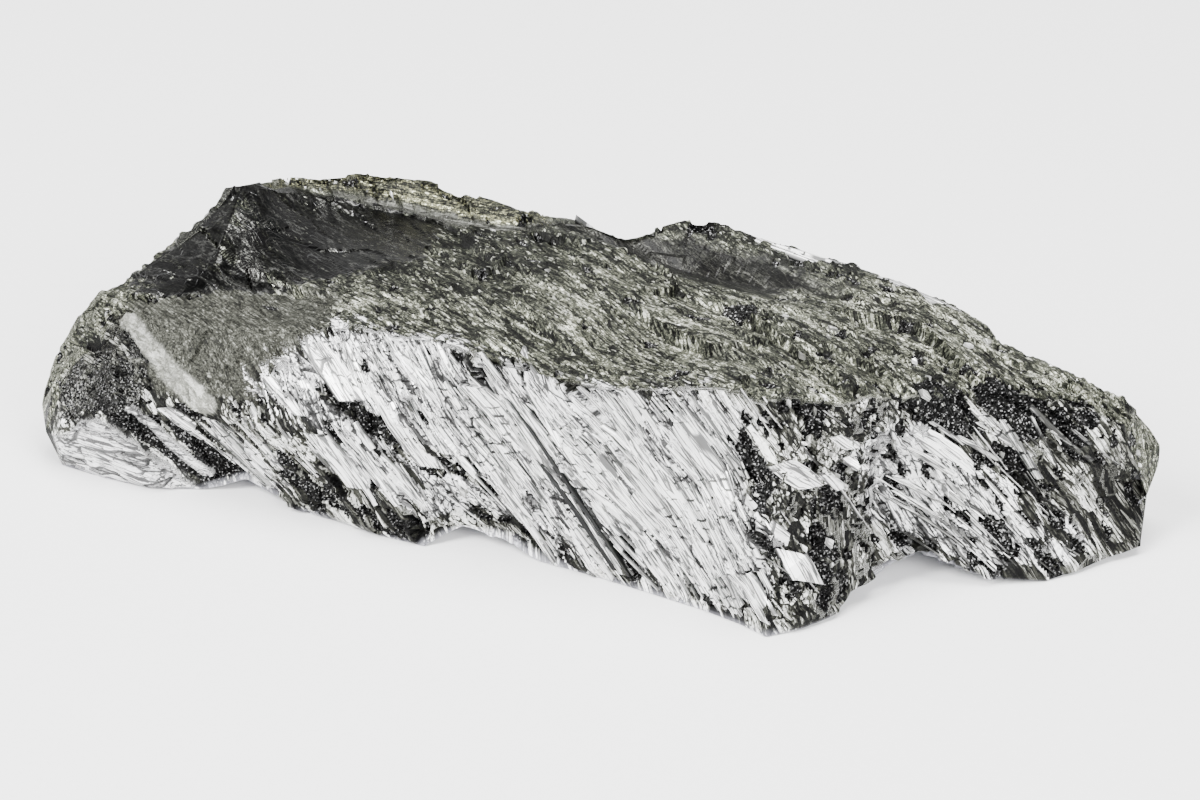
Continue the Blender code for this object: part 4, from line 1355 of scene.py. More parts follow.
def grey(level, warm=0.0):
    """A near-grey colour: warm above 0 leans to olive."""
    return (level * (1 + 0.15 * warm), level * (1 + 0.22 * warm), level * (1 - 0.45 * warm))


def over(tree, share, colour, level, warm=0.0):
    """A colour with a near-grey laid over it, by a share from 0 to 1."""
    return blended(tree, share, colour, (*grey(level, warm), 1.0))


def read(tree, name, output="Vector"):
    """A mesh attribute's output."""
    return placed(tree, "ShaderNodeAttribute", attribute_name=name).outputs[output]


def numbers_in(tree, colour):
    """The three numbers of a colour."""
    return placed(tree, "ShaderNodeSeparateColor", {"Color": colour}).outputs


def parts_of(tree, name):
    """The four numbers kept in a colour attribute."""
    made = placed(tree, "ShaderNodeAttribute", attribute_name=name)
    return [*numbers_in(tree, made.outputs["Color"]), made.outputs["Alpha"]]


def in_mm(tree):
    """The place on the piece, in mm."""
    here = placed(tree, "ShaderNodeTexCoord").outputs["Object"]
    return stretched_by(tree, here, (1 / MM, 1 / MM, 1 / MM))


def new_group(name, inputs, outputs):
    """An empty shader node group with named inputs, as (name, kind, default), and outputs.
    Gives the group, its input sockets by name, and a function that sets an output."""
    tree = bpy.data.node_groups.new(name, "ShaderNodeTree")
    for label, kind, default in inputs:
        socket = tree.interface.new_socket(label, in_out="INPUT", socket_type=kind)
        if default is not None:
            socket.default_value = default
    for label, kind in outputs:
        tree.interface.new_socket(label, in_out="OUTPUT", socket_type=kind)
    entry = tree.nodes.new("NodeGroupInput")
    leave = tree.nodes.new("NodeGroupOutput")

    def put(label, socket):
        """Links a socket to the group's output of that name."""
        tree.links.new(socket, leave.inputs[label])

    return tree, entry.outputs, put


def use_group(tree, group, values):
    """A group placed in a material with its own values. Gives its outputs."""
    return placed(tree, "ShaderNodeGroup", values, node_tree=group).outputs


def crystal_streaks():
    """Plates and needles along the crystals, as long cells of space. Place is in mm: along,
    across, deep. Streak is each plate's own number from 0 to 1, Hairline is 1 in the thin dark
    cracks beside some of them, Cross is 1 on short level rows over them, and Rise is the height
    of fine ridges along them."""
    tree, entry, put = new_group(
        "Crystal streaks",
        [("Place", "NodeSocketVector", None), ("Fineness", "NodeSocketFloat", 1.0),
         ("Cracks", "NodeSocketFloat", 0.35)],
        [("Streak", "NodeSocketFloat"), ("Hairline", "NodeSocketFloat"),
         ("Cross", "NodeSocketFloat"), ("Rise", "NodeSocketFloat")],
    )
    scaled = placed(tree, "ShaderNodeVectorMath", {0: entry["Place"], 3: entry["Fineness"]},
                    operation="SCALE").outputs[0]

    def field(along, over, shift=(0.0, 0.0, 0.0), detail=1.0):
        """Noise drawn out along the crystals, moved by a shift of its own."""
        return noise(tree, stretched_by(tree, scaled, (along, over, over), shift), 1.0, detail)

    sway = times(tree, field(0.12, 0.35), 0.9)
    sideways = placed(tree, "ShaderNodeCombineXYZ", {"Y": sway})
    swayed = placed(tree, "ShaderNodeVectorMath", {0: scaled, 1: sideways.outputs[0]}).outputs[0]
    wide_place = stretched_by(tree, swayed, (0.08, 0.62, 0.62))
    wide = cells(tree, wide_place)
    wide_own = numbers_in(tree, wide.outputs["Color"])
    second = cells(tree, wide_place, 1.0, "F2").outputs["Distance"]
    wall = sums(tree, "SUBTRACT", second, wide.outputs["Distance"])
    thin = cells(tree, stretched_by(tree, swayed, (0.17, 2.7, 2.7), (3.0, 1.0, 7.0)))
    thin_own = numbers_in(tree, thin.outputs["Color"])
    hair = field(0.30, 4.6, (5.0, 1.0, 8.0))

    together = weighed(tree, (wide_own[0], 0.40), (thin_own[0], 0.32), (hair, 0.28))
    streak = ranged(tree, together, 0.26, 0.72)

    few = sums(tree, "LESS_THAN", wide_own[1], entry["Cracks"])
    crack = times(tree, ranged(tree, wall, 0.05, 0.13, 1.0, 0.0), few)
    ends = sums(tree, "LESS_THAN", thin_own[1], entry["Cracks"])
    fleck = times(tree, ranged(tree, thin.outputs["Distance"], 0.42, 0.56), ends)
    away = sums(tree, "ABSOLUTE", sums(tree, "SUBTRACT", field(0.09, 2.4, (1.0, 6.0, 3.0)), 0.5))
    gate = ranged(tree, field(0.28, 0.9, (8.0, 2.0, 6.0)), 0.42, 0.46)
    line = times(tree, ranged(tree, away, 0.016, 0.034, 1.0, 0.0), gate)
    hairline = sums(tree, "MAXIMUM", sums(tree, "MAXIMUM", crack, fleck), line)

    face = stretched_by(tree, entry["Place"], (1.0, 1.0, 0.0))
    level = placed(tree, "ShaderNodeVectorMath", {0: face, 1: ROW_SLOPE},
                   operation="DOT_PRODUCT").outputs["Value"]
    waved = sums(tree, "ADD", level, noise(tree, stretched_by(tree, face, (0.5, 0.5, 0.0)), 1.0, 1.0))
    row = ranged(tree, sums(tree, "PINGPONG", waved, 0.5), 0.34, 0.42)
    broken = ranged(tree, noise(tree, stretched_by(tree, face, (0.9, 0.9, 0.0)), 1.0, 1.0), 0.50, 0.54)
    area = ranged(tree, noise(tree, stretched_by(tree, face, (0.09, 0.09, 0.0)), 1.0, 0.0), 0.45, 0.53)
    cross = times(tree, times(tree, row, broken), area)
    put("Streak", streak)
    put("Hairline", hairline)
    put("Cross", cross)
    put("Rise", field(0.22, 4.0, (2.0, 4.0, 6.0), 1.0))
    return tree


def sugar_grain():
    """Sugary grains. Place is in mm and Size is a grain's. Grain is each grain's own number from
    0 to 1, Sparkle is 1 on a few single grains, and Rise is their height."""
    tree, entry, put = new_group(
        "Sugar grain",
        [("Place", "NodeSocketVector", None), ("Size", "NodeSocketFloat", 0.4),
         ("Sparkles", "NodeSocketFloat", 0.06)],
        [("Grain", "NodeSocketFloat"), ("Sparkle", "NodeSocketFloat"),
         ("Rise", "NodeSocketFloat")],
    )
    scale = sums(tree, "DIVIDE", 1.0, entry["Size"])
    coarse = cells(tree, entry["Place"], scale)
    own = numbers_in(tree, coarse.outputs["Color"])
    low = sums(tree, "SUBTRACT", 1.0, entry["Sparkles"])
    sparkle = sums(tree, "GREATER_THAN", own[1], low)
    lean = times(tree, coarse.outputs["Distance"], -0.8)
    put("Grain", own[0])
    put("Sparkle", sparkle)
    put("Rise", sums(tree, "ADD", lean, own[2]))
    return tree


def hairline_scratches():
    """Thin wandering lines. Place is in mm. Line is 1 on them and fades out along them."""
    tree, entry, put = new_group(
        "Hairline scratches",
        [("Place", "NodeSocketVector", None), ("Spread", "NodeSocketFloat", 1.0),
         ("Thickness", "NodeSocketFloat", 0.02)],
        [("Line", "NodeSocketFloat")],
    )
    scaled = placed(tree, "ShaderNodeVectorMath", {0: entry["Place"], 3: entry["Spread"]},
                    operation="SCALE").outputs[0]
    lines = None
    for offset, stretch in (((0.0, 0.0, 0.0), (0.10, 0.34, 0.34)),
                            ((31.0, 7.0, 5.0), (0.07, 0.20, 0.20))):
        field = noise(tree, stretched_by(tree, scaled, stretch, offset), 1.0, 0.0)
        edge = sums(tree, "ABSOLUTE", sums(tree, "SUBTRACT", field, 0.5))
        line = ranged(tree, edge, 0.0, entry["Thickness"], 1.0, 0.0)
        gate = noise(tree, stretched_by(tree, scaled, (0.25, 0.4, 0.4), offset), 1.0, 0.0)
        line = times(tree, line, ranged(tree, gate, 0.45, 0.58))
        lines = line if lines is None else sums(tree, "MAXIMUM", lines, line)
    put("Line", lines)
    return tree


def new_material(name):
    """A material with one Principled BSDF. Gives the material, its tree and the shader."""
    material = bpy.data.materials.new(name)
    material.use_nodes = True
    tree = material.node_tree
    return material, tree, tree.nodes["Principled BSDF"]


def bumped(tree, shader, height, strength, distance):
    """Feeds a height through a Bump node into a shader's normal."""
    values = {"Height": height, "Strength": strength, "Distance": distance}
    made = placed(tree, "ShaderNodeBump", values)
    tree.links.new(made.outputs["Normal"], shader.inputs["Normal"])


def crystal_finish(tree, shader, colour, number, rough, metallic):
    """Feeds a shader its colour, a roughness that goes from one value to another as a number goes
    from 0 to 1, and how metallic it is."""
    tree.links.new(colour, shader.inputs["Base Color"])
    tree.links.new(ranged(tree, number, 0.0, 1.0, *rough), shader.inputs["Roughness"])
    shader.inputs["Metallic"].default_value = metallic


def silver_blade(groups, colours):
    """Bright cleaved blades: each has its own tone, fine streaks along it, dark hairlines, faint
    steps across it, and painted shade on its sides towards the root."""
    material, tree, shader = new_material("silver blade")
    streaks = use_group(tree, groups["streaks"], {
        "Place": read(tree, "grain_place"), "Fineness": 1.25, "Cracks": 0.42,
    })
    level = weighed(tree, (streaks["Streak"], 0.40), (read(tree, "tone", "Fac"), 0.78))
    level = sums(tree, "SUBTRACT", level, times(tree, streaks["Cross"], 0.50), True)
    # Near-white top of this ramp: partly the blades' own colour, partly painted softbox reflection.
    colour = ramp(tree, level, [
        (0.06, 0.006), (0.25, 0.030, 0.15), (0.40, 0.15, 0.08), (0.55, 0.50, 0.03),
        (0.74, colours["silver"]),
    ])
    # Painted shade: the blade's sides darken towards the root, where it meets the stone.
    root = ranged(tree, read(tree, "edge", "Fac"), 0.35, 0.90)
    hairlines_and_root_shade = sums(tree, "MAXIMUM", times(tree, streaks["Hairline"], 0.88), root)
    colour = over(tree, hairlines_and_root_shade, colour, 0.020)
    crystal_finish(tree, shader, colour, streaks["Streak"], (0.50, 0.32), 0.65)
    bumped(tree, shader, streaks["Rise"], 0.5, 0.08 * MM)
    return material


def skin_numbers(tree, groups):
    """What the skin's finishes are made of, by name: the numbers kept on its points, and patterns
    from 0 to 1 along its grain. Hairs are fine fibres, swirls and patches slow clouds, and salt
    the mean of the fine and the splintery grains."""
    place, here = read(tree, "grain_place"), in_mm(tree)
    splinters = stretched_by(tree, place, (0.42, 1.25, 1.25))
    streaks = use_group(tree, groups["streaks"], {"Place": place, "Fineness": 1.15, "Cracks": 0.42})
    grains = use_group(tree, groups["grain"], {"Place": splinters, "Size": 0.27, "Sparkles": 0.04})
    fine = use_group(tree, groups["grain"], {"Place": here, "Size": 0.17, "Sparkles": 0.10})
    scratches = use_group(tree, groups["scratches"], {
        "Place": place, "Spread": 1.3, "Thickness": 0.012,
    })
    hairs = noise(tree, stretched_by(tree, place, (0.45, 6.5, 6.5)), 1.0, 1.0)
    at = {
        "flecks": read(tree, "fleck_rows", "Fac"), "back": read(tree, "back_light_lift", "Fac"),
        "streak": streaks["Streak"], "hairline": streaks["Hairline"],
        "cross": streaks["Cross"], "ridges": streaks["Rise"],
        "grain": grains["Grain"], "glint": grains["Sparkle"],
        "fine": fine["Grain"], "sparkle": fine["Sparkle"], "scratch": scratches["Line"],
        "hairs": ranged(tree, hairs, 0.32, 0.68),
        "swirls": noise(tree, stretched_by(tree, place, (0.08, 0.22, 0.22)), 1.0, 1.0, 0.45, 1.0),
        "patches": noise(tree, stretched_by(tree, place, (0.13, 0.42, 0.42)), 1.0, 3.0, 0.62),
        "tooth": noise(tree, here, 2.6, 2.0),
    }
    for label, names in SKIN_LAYERS.items():
        at.update(zip(names, parts_of(tree, label)))
    at["salt"] = mixed(tree, at, fine=0.50, grain=0.50)
    at["broad"] = ranged(tree, at["patches"], 0.28, 0.72)
    at["wave"] = folded(tree, at["swirls"], 6.0)
    # The back share paints the back face brighter: painted light.
    at["fibre"] = mixed(tree, at, streak=0.58, salt=0.17, patches=0.32, hairs=0.06, hairline=-0.42,
                        grain_end=-0.19, cells_left=-0.16, back=0.16)
    return at


def mixed(tree, at, **weights):
    """The sum of some of the skin's numbers, by name, times their weights."""
    return weighed(tree, *((at[name], weight) for name, weight in weights.items()))


def folded(tree, value, count):
    """A value folded into waves from 0 to 0.5 and back."""
    return sums(tree, "PINGPONG", times(tree, value, count), 0.5)


def off_middle(tree, value, reach):
    """How far a value is above or below 0.5, times a reach."""
    return times(tree, sums(tree, "SUBTRACT", value, 0.5), reach)


def fibrous_grey(tree, at):
    """The grey fibrous mass under all the other finishes."""
    return ramp(tree, at["fibre"], [
        (0.14, 0.0012), (0.34, 0.010, 0.3), (0.52, 0.045, 0.25), (0.70, 0.20, 0.15),
        (0.88, 0.80, 0.05),
    ])


def sugary_olive(tree, at, colours):
    """The top's mottled olive grains, with a few that glint."""
    mottled = mixed(tree, at, broad=0.30, salt=0.58, streak=0.14, tone=0.12, hairs=0.12,
                    dusky=-0.15, hairline=-0.30, hump=-0.20, ebony=-0.14)
    colour = ramp(tree, mottled, [
        (0.22, 0.0015, 0.3), (0.40, colours["olive_dark"]), (0.57, colours["olive"]),
        (0.76, 0.14, 0.45), (0.95, 0.70, 0.2),
    ])
    return over(tree, times(tree, at["glint"], 0.5), colour, 0.45, 0.2)


def slope_grey(tree, at):
    """The even grey slope on the left: fine hairs and salt."""
    number = mixed(tree, at, hairs=0.24, streak=0.16, salt=0.52, patches=0.20, hairline=-0.12)
    return ramp(tree, number, [
        (0.18, 0.004, 0.3), (0.36, 0.012, 0.3), (0.55, 0.038, 0.3), (0.74, 0.080, 0.25),
        (0.94, 0.26, 0.15),
    ])


def silver_and_painted_reflection(tree, at):
    """Nearly white plates with dark hairlines: partly their own bright colour and partly painted
    reflection of the softbox in front.
    """
    shine = mixed(tree, at, streak=0.60, salt=0.16, patches=0.42, cross=-0.30)
    colour = ramp(tree, shine, [(0.08, 0.008), (0.28, 0.05), (0.43, 0.32), (0.60, 0.84)])
    return over(tree, times(tree, at["hairline"], 0.95), colour, 0.010)


def silver_edge(tree, at):
    """Where the silver is: its zone, torn along the streaks at the edge."""
    torn = sums(tree, "ADD", at["silver"], mixed(tree, at, streak=0.5, salt=0.4))
    return ranged(tree, torn, 0.86, 1.04)


def level_silver(tree, at):
    """The left block's even silver, with dark hairlines."""
    number = mixed(tree, at, streak=0.55, fine=0.25, hairs=0.2)
    colour = ramp(tree, number, [(0.10, 0.14), (0.40, 0.50), (0.75, 0.85)])
    return over(tree, times(tree, at["hairline"], 0.90), colour, 0.02)


def pale_grey(tree, at):
    """The smooth pale band."""
    number = mixed(tree, at, streak=0.6, fine=0.4)
    return ramp(tree, number, [(0.1, 0.07, 0.2), (0.5, 0.165, 0.2), (0.9, 0.34, 0.1)])


def brassy_flecks(tree, at, colours):
    """The rear strip: dark grains, with brassy and nearly white ones in the fleck rows."""
    number = mixed(tree, at, salt=0.62, hairs=0.22, patches=0.10, flecks=0.26)
    return ramp(tree, number, [
        (0.24, 0.0015), (0.44, 0.014, 0.4), (0.61, 0.060, 0.5), (0.78, colours["brass"]),
        (0.94, 0.9, 0.4),
    ])


def polished_grey(tree, at):
    """The smooth band and the scoop: soft grey with lines that flow along the swirls."""
    lines = times(tree, ranged(tree, at["wave"], 0.38, 0.48), ranged(tree, at["fine"], 0.0, 0.6))
    number = weighed(tree, (at["swirls"], 0.30), (at["hairs"], 0.25), (at["fine"], 0.16),
                     (lines, 0.20), (at["streak"], 0.20), (at["scoop"], -0.25))
    return ramp(tree, number, [(0.05, 0.004), (0.28, 0.012, 0.2), (0.5, 0.046, 0.2),
                               (0.75, 0.14, 0.15)])


def ebony_and_painted_reflection(tree, at):
    """The near-black peak: curved layers, fine grains, contour lines and scratches. Its near-black
    is partly its own dark colour and partly painted dark reflection.
    """
    number = mixed(tree, at, swirls=0.50, fine=0.14, grain=0.22, wave=0.50, hairs=0.12)
    # Partly painted dark reflection: the darkness the glossy peak mirrors is painted in as near-black.
    colour = ramp(tree, number, [
        (0.42, 0.0012), (0.56, 0.004), (0.66, 0.015, 0.1), (0.75, 0.055, 0.1), (0.87, 0.18, 0.1),
    ])
    contour = ranged(tree, folded(tree, at["swirls"], 10.0), 0.44, 0.49)
    colour = over(tree, times(tree, contour, 0.70), colour, 0.065, 0.1)
    return over(tree, times(tree, at["scratch"], 0.60), colour, 0.20)


def ebony_edge(tree, at):
    """Where the ebony is: its zone, wandering with the patches and broken by holes in them."""
    ragged = sums(tree, "ADD", at["ebony"], off_middle(tree, at["patches"], 1.1))
    hole = ranged(tree, at["patches"], 0.44, 0.49, 0.85, 0.0)
    return times(tree, ranged(tree, ragged, 0.38, 0.62), sums(tree, "SUBTRACT", 1.0, hole))


def sunken_black(tree, at):
    """The dark cells: black grains, a few that sparkle, and thin grey ribs on the left cheek."""
    colour = ramp(tree, at["fine"], [(0.0, 0.001), (0.55, 0.003), (0.82, 0.012), (1.0, 0.05)])
    colour = over(tree, at["sparkle"], colour, 0.20)
    rib = times(tree, ranged(tree, at["hairs"], 0.66, 0.90),
                mixed(tree, at, cells_left=0.60, patches=0.12))
    return over(tree, rib, colour, 0.14, 0.1)


def cell_edge(tree, at):
    """Where the dark cells are, with a crisp grainy edge."""
    crisp = sums(tree, "ADD", at["dark"], off_middle(tree, at["salt"], 0.15))
    return ranged(tree, crisp, 0.44, 0.54)


def painted_underside_light(tree, at):
    """Painted light on the faces that look down: pale, with a touch of lilac."""
    return ramp(tree, at["fibre"], [(0.2, (0.30, 0.30, 0.33)), (0.8, (0.70, 0.70, 0.76))])


def stone_skin(groups, colours):
    """The stone's own surface: a grey fibrous mass, and over it, by zone, olive sugary grains, the
    grey slope, silver plates that are partly painted reflection, a pale band, a brassy strip, smooth
    grey parts, glossy ebony that is partly painted dark reflection, dark cells and painted pale light
    on the faces that look down."""
    material, tree, shader = new_material("broken stibnite")
    at = skin_numbers(tree, groups)
    colour = fibrous_grey(tree, at)
    for share, finish in (
        (at["olive"], sugary_olive(tree, at, colours)),
        (ranged(tree, at["grey_slope"], 0.2, 0.7), slope_grey(tree, at)),
        (silver_edge(tree, at), silver_and_painted_reflection(tree, at)),
        (at["silver_left"], level_silver(tree, at)),
        (at["pale_band"], pale_grey(tree, at)),
        (at["brassy"], brassy_flecks(tree, at, colours)),
        (at["smooth_parts"], polished_grey(tree, at)),
        (ebony_edge(tree, at), ebony_and_painted_reflection(tree, at)),
        (cell_edge(tree, at), sunken_black(tree, at)),
        (times(tree, at["under"], 0.7), painted_underside_light(tree, at)),
    ):
        colour = blended(tree, share, colour, finish)
    tree.links.new(colour, shader.inputs["Base Color"])
    gloss = sums(tree, "MAXIMUM", at["ebony"], times(tree, at["scoop"], 0.8))
    rough = ranged(tree, gloss, 0.0, 1.0, 0.50, 0.24)
    rough = sums(tree, "SUBTRACT", rough, times(tree, at["silver"], 0.10))
    tree.links.new(rough, shader.inputs["Roughness"])
    metal = sums(tree, "MAXIMUM", sums(tree, "MAXIMUM", at["dark"], at["ebony"]), 0.45)
    tree.links.new(metal, shader.inputs["Metallic"])
    shader.inputs["Specular IOR Level"].default_value = 0.15
    quiet = sums(tree, "MAXIMUM", at["ebony"], at["smooth_parts"])
    quiet = sums(tree, "MAXIMUM", quiet, at["pale_band"])
    grain_rise = times(tree, at["tooth"], ranged(tree, quiet, 0.0, 1.0, 1.0, 0.05))
    rise = sums(tree, "ADD", times(tree, at["ridges"], 0.5), grain_rise)
    bumped(tree, shader, rise, 0.6, 0.16 * MM)
    return material


def bright_flake(groups, colours):
    """Clean small cleavage flakes: nearly white, each with its own tone."""
    material, tree, shader = new_material("bright flake")
    streaks = use_group(tree, groups["streaks"], {
        "Place": read(tree, "grain_place"), "Fineness": 1.6, "Cracks": 0.2,
    })
    level = weighed(tree, (streaks["Streak"], 0.35), (read(tree, "tone", "Fac"), 0.65))
    # Near-white top of this ramp: partly the flakes' own colour, partly painted softbox reflection.
    colour = ramp(tree, level, [(0.1, 0.04, 0.2), (0.5, 0.22, 0.1), (0.9, colours["silver"])])
    crystal_finish(tree, shader, colour, streaks["Streak"], (0.42, 0.28), 0.5)
    bumped(tree, shader, streaks["Rise"], 0.4, 0.06 * MM)
    return material


def brassy_grain(groups, colours):
    """Small grains of the rear strip: grey to pale brass, flecked."""
    material, tree, shader = new_material("brassy grain")
    grains = use_group(tree, groups["grain"], {
        "Place": in_mm(tree), "Size": 0.3, "Sparkles": 0.08,
    })
    level = weighed(tree, (grains["Grain"], 0.35), (read(tree, "tone", "Fac"), 0.65))
    colour = ramp(tree, level, [
        (0.1, 0.006, 0.3), (0.50, 0.05, 0.6), (0.80, colours["brass"]), (1.0, 0.85, 0.4),
    ])
    crystal_finish(tree, shader, colour, grains["Grain"], (0.55, 0.35), 0.6)
    bumped(tree, shader, grains["Rise"], 0.5, 0.1 * MM)
    return material


def pale_paper():
    """The stage: a plain pale matt sheet, with the faintest tooth."""
    material, tree, shader = new_material("pale paper")
    here = placed(tree, "ShaderNodeTexCoord").outputs["Object"]
    tooth = noise(tree, here, 900.0, 3.0)
    colour = ramp(tree, tooth, [(0.0, (0.86, 0.86, 0.86)), (1.0, (0.90, 0.90, 0.90))])
    tree.links.new(colour, shader.inputs["Base Color"])
    shader.inputs["Roughness"].default_value = 0.9
    shader.inputs["Specular IOR Level"].default_value = 0.1
    return material


# Stage ----------------------------------------------------------------


def camera_at(target, distance, azimuth, elevation, lens):
    """The camera: at its distance from the target, turned by the azimuth round it and raised by
    the elevation, looking at it. Place = target + distance (sin a cos e, -cos a cos e, sin e)."""
    turn, lift = math.radians(azimuth), math.radians(elevation)
    back = Vector((math.sin(turn) * math.cos(lift), -math.cos(turn) * math.cos(lift),
                   math.sin(lift)))
    data = bpy.data.cameras.new("Camera")
    data.lens = lens
    data.sensor_width = 36.0
    data.clip_start = 0.01
    camera = bpy.data.objects.new("Camera", data)
    camera.location = (Vector(target) + back * distance) * MM
    camera.rotation_euler = back.to_track_quat("Z", "Y").to_euler()
    bpy.context.scene.collection.objects.link(camera)
    bpy.context.scene.camera = camera


def soft_light(name, place, size, power):
    """A square area light that faces the stone's middle."""
    data = bpy.data.lights.new(name, "AREA")
    data.size = size
    data.energy = power
    light = bpy.data.objects.new(name, data)
    light.location = place
    back = Vector(place) - Vector(LIGHT_AIM)
    light.rotation_euler = back.to_track_quat("Z", "Y").to_euler()
    bpy.context.scene.collection.objects.link(light)


def pale_world(level):
    """An even grey surrounding."""
    world = bpy.data.worlds.new("Studio")
    world.use_nodes = True
    background = world.node_tree.nodes["Background"]
    background.inputs["Color"].default_value = (level, level, level, 1.0)
    background.inputs["Strength"].default_value = 1.0
    bpy.context.scene.world = world


def floor_sheet(material):
    """The floor: one large square just under the stone."""
    half, low = FLOOR_SIZE / 2, -FLOOR_GAP
    mesh = bpy.data.meshes.new("floor")
    corners = [(-half, -half, low), (half, -half, low), (half, half, low), (-half, half, low)]
    mesh.from_pydata(corners, [], [(0, 1, 2, 3)])
    floor = bpy.data.objects.new("floor", mesh)
    mesh.materials.append(material)
    bpy.context.scene.collection.objects.link(floor)


# Properties, operators and panel --------------------------------------


class StibniteSizes(bpy.types.PropertyGroup):
    """What a user would change about the shapes."""

    blade_share: bpy.props.FloatProperty(
        name="Blade cover", description="How much of the broken faces the blades cover",
        default=1.0, min=0.0, max=1.5, subtype="FACTOR",
    )
    flake_count: bpy.props.IntProperty(
        name="Flakes", description="How many places are tried for bright flakes", default=9000,
        min=0, max=40000,
    )
    grain_count: bpy.props.IntProperty(
        name="Brassy grains", description="How many places are tried for brassy grains",
        default=2600, min=0, max=20000,
    )
    seed: bpy.props.IntProperty(
        name="Seed", description="Changes every random place at once", default=11, min=0,
    )


class StibniteColours(bpy.types.PropertyGroup):
    """The colours of the stone's finishes, and the studio's brightness."""

    # Partly the blades' own colour and partly painted reflection of the softbox in front.
    silver: bpy.props.FloatVectorProperty(
        name="Silver", description="The brightest cleaved blades", default=(0.93, 0.93, 0.92),
        size=3, min=0.0, max=1.0, subtype="COLOR",
    )
    olive: bpy.props.FloatVectorProperty(
        name="Olive grey", description="The sugary top", default=(0.046, 0.049, 0.038),
        size=3, min=0.0, max=1.0, subtype="COLOR",
    )
    olive_dark: bpy.props.FloatVectorProperty(
        name="Dark olive", description="The darker grains of the top",
        default=(0.0105, 0.0112, 0.0085), size=3, min=0.0, max=1.0, subtype="COLOR",
    )
    brass: bpy.props.FloatVectorProperty(
        name="Brass", description="The flecks of the rear strip", default=(0.22, 0.215, 0.12),
        size=3, min=0.0, max=1.0, subtype="COLOR",
    )
    light: bpy.props.FloatProperty(
        name="Light", description="Multiplies the power of the three soft lights", default=1.0,
        min=0.0, max=5.0,
    )


class STIBNITE_OT_skin(bpy.types.Operator):
    """The stone's whole broken surface"""

    bl_idname = "stibnite.skin"
    bl_label = "Broken skin"

    def execute(self, context):
        broken_skin(finish_for("broken stibnite"))
        return {"FINISHED"}


class STIBNITE_OT_blades(bpy.types.Operator):
    """Blades on the front and right faces, and on the back"""

    bl_idname = "stibnite.blades"
    bl_label = "Silver blades"

    def execute(self, context):
        sizes = context.scene.stibnite_sizes
        silver = finish_for("silver blade")
        blade_piece("front_blades", "front", BLADE_LAYERS, sizes.seed, sizes.blade_share, silver,
                    PLATES)
        blade_piece("back_blades", "back", BLADE_LAYERS[:2], sizes.seed + 1, sizes.blade_share,
                    silver, REAR_PLATES)
        return {"FINISHED"}


class STIBNITE_OT_flakes(bpy.types.Operator):
    """Bright flakes on the top, the rear edge and the broken faces"""

    bl_idname = "stibnite.flakes"
    bl_label = "Bright flakes"

    def execute(self, context):
        sizes = context.scene.stibnite_sizes
        flake_piece("bright_flakes", sizes.flake_count, FLAKE_CHANCES, FLAKE_COLUMNS, FLAKE_SIZES,
                    sizes.seed + 2, finish_for("bright flake"))
        return {"FINISHED"}


class STIBNITE_OT_grains(bpy.types.Operator):
    """Brassy grains along the rear strip"""

    bl_idname = "stibnite.grains"
    bl_label = "Brassy grains"

    def execute(self, context):
        sizes = context.scene.stibnite_sizes
        flake_piece("brassy_grains", sizes.grain_count, GRAIN_CHANCES, GRAIN_COLUMNS, GRAIN_SIZES,
                    sizes.seed + 3, finish_for("brassy grain"))
        return {"FINISHED"}


class STIBNITE_OT_stage(bpy.types.Operator):
    """A pale floor, soft lights and the camera"""

    bl_idname = "stibnite.stage"
    bl_label = "Stage"

    def execute(self, context):
        colours = context.scene.stibnite_colours
        floor_sheet(pale_paper())
        pale_world(WORLD_LEVEL)
        for name, place, size, power in LIGHTS:
            soft_light(name, place, size, power * colours.light)
        camera_at(CAMERA_TARGET, CAMERA_DISTANCE, CAMERA_AZIMUTH, CAMERA_ELEVATION, CAMERA_LENS)
        return {"FINISHED"}


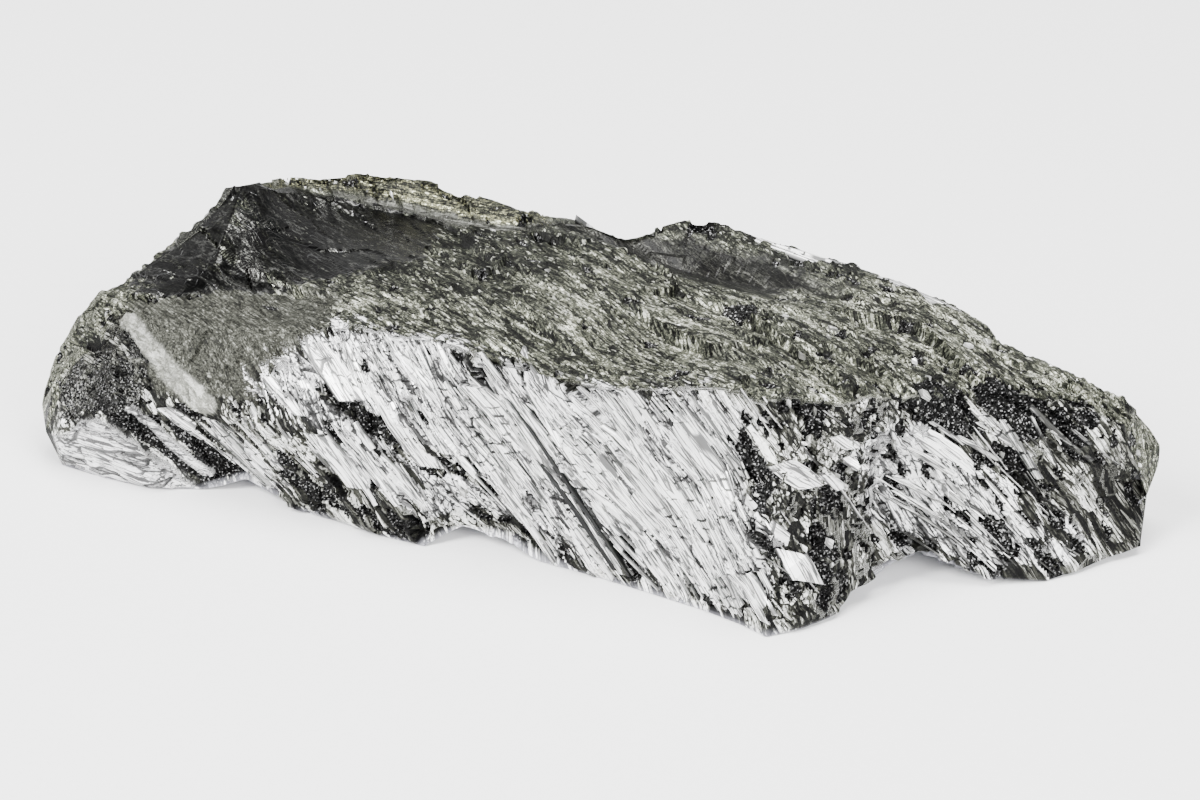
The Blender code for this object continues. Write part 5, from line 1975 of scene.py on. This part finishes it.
class STIBNITE_PT_panel(bpy.types.Panel):
    """Lists the pieces and their sizes and colours"""

    bl_idname = "STIBNITE_PT_panel"
    bl_label = "Stibnite mass"
    bl_space_type = "VIEW_3D"
    bl_region_type = "UI"
    bl_category = "Stibnite"

    def draw(self, context):
        layout = self.layout
        for group in (context.scene.stibnite_sizes, context.scene.stibnite_colours):
            for name in type(group).__annotations__:
                layout.prop(group, name)
        for operator in OPERATORS:
            layout.operator(operator.bl_idname)


OPERATORS = (
    STIBNITE_OT_skin, STIBNITE_OT_blades, STIBNITE_OT_flakes, STIBNITE_OT_grains,
    STIBNITE_OT_stage,
)
CLASSES = (StibniteSizes, StibniteColours, *OPERATORS, STIBNITE_PT_panel)


def finish_for(name):
    """The material of that name, made with the shared groups the first time it is asked for."""
    made = bpy.data.materials.get(name)
    if made:
        return made
    found = {
        key: bpy.data.node_groups.get(label) or build()
        for key, label, build in (
            ("streaks", "Crystal streaks", crystal_streaks),
            ("grain", "Sugar grain", sugar_grain),
            ("scratches", "Hairline scratches", hairline_scratches),
        )
    }
    chosen = bpy.context.scene.stibnite_colours
    colours = {key: tuple(getattr(chosen, key)) for key in
               ("silver", "olive", "olive_dark", "brass")}
    build = {
        "broken stibnite": stone_skin, "silver blade": silver_blade,
        "bright flake": bright_flake, "brassy grain": brassy_grain,
    }[name]
    return build(found, colours)


def register():
    """Registers the classes and gives the scene its two groups of properties."""
    for item in CLASSES:
        bpy.utils.register_class(item)
    bpy.types.Scene.stibnite_sizes = bpy.props.PointerProperty(type=StibniteSizes)
    bpy.types.Scene.stibnite_colours = bpy.props.PointerProperty(type=StibniteColours)


def unregister():
    """Takes back what register did, in reverse."""
    del bpy.types.Scene.stibnite_colours
    del bpy.types.Scene.stibnite_sizes
    for item in reversed(CLASSES):
        bpy.utils.unregister_class(item)


def main():
    """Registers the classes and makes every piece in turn."""
    register()
    bpy.ops.stibnite.skin()
    bpy.ops.stibnite.blades()
    bpy.ops.stibnite.flakes()
    bpy.ops.stibnite.grains()
    bpy.ops.stibnite.stage()


if __name__ == "__main__":
    main()
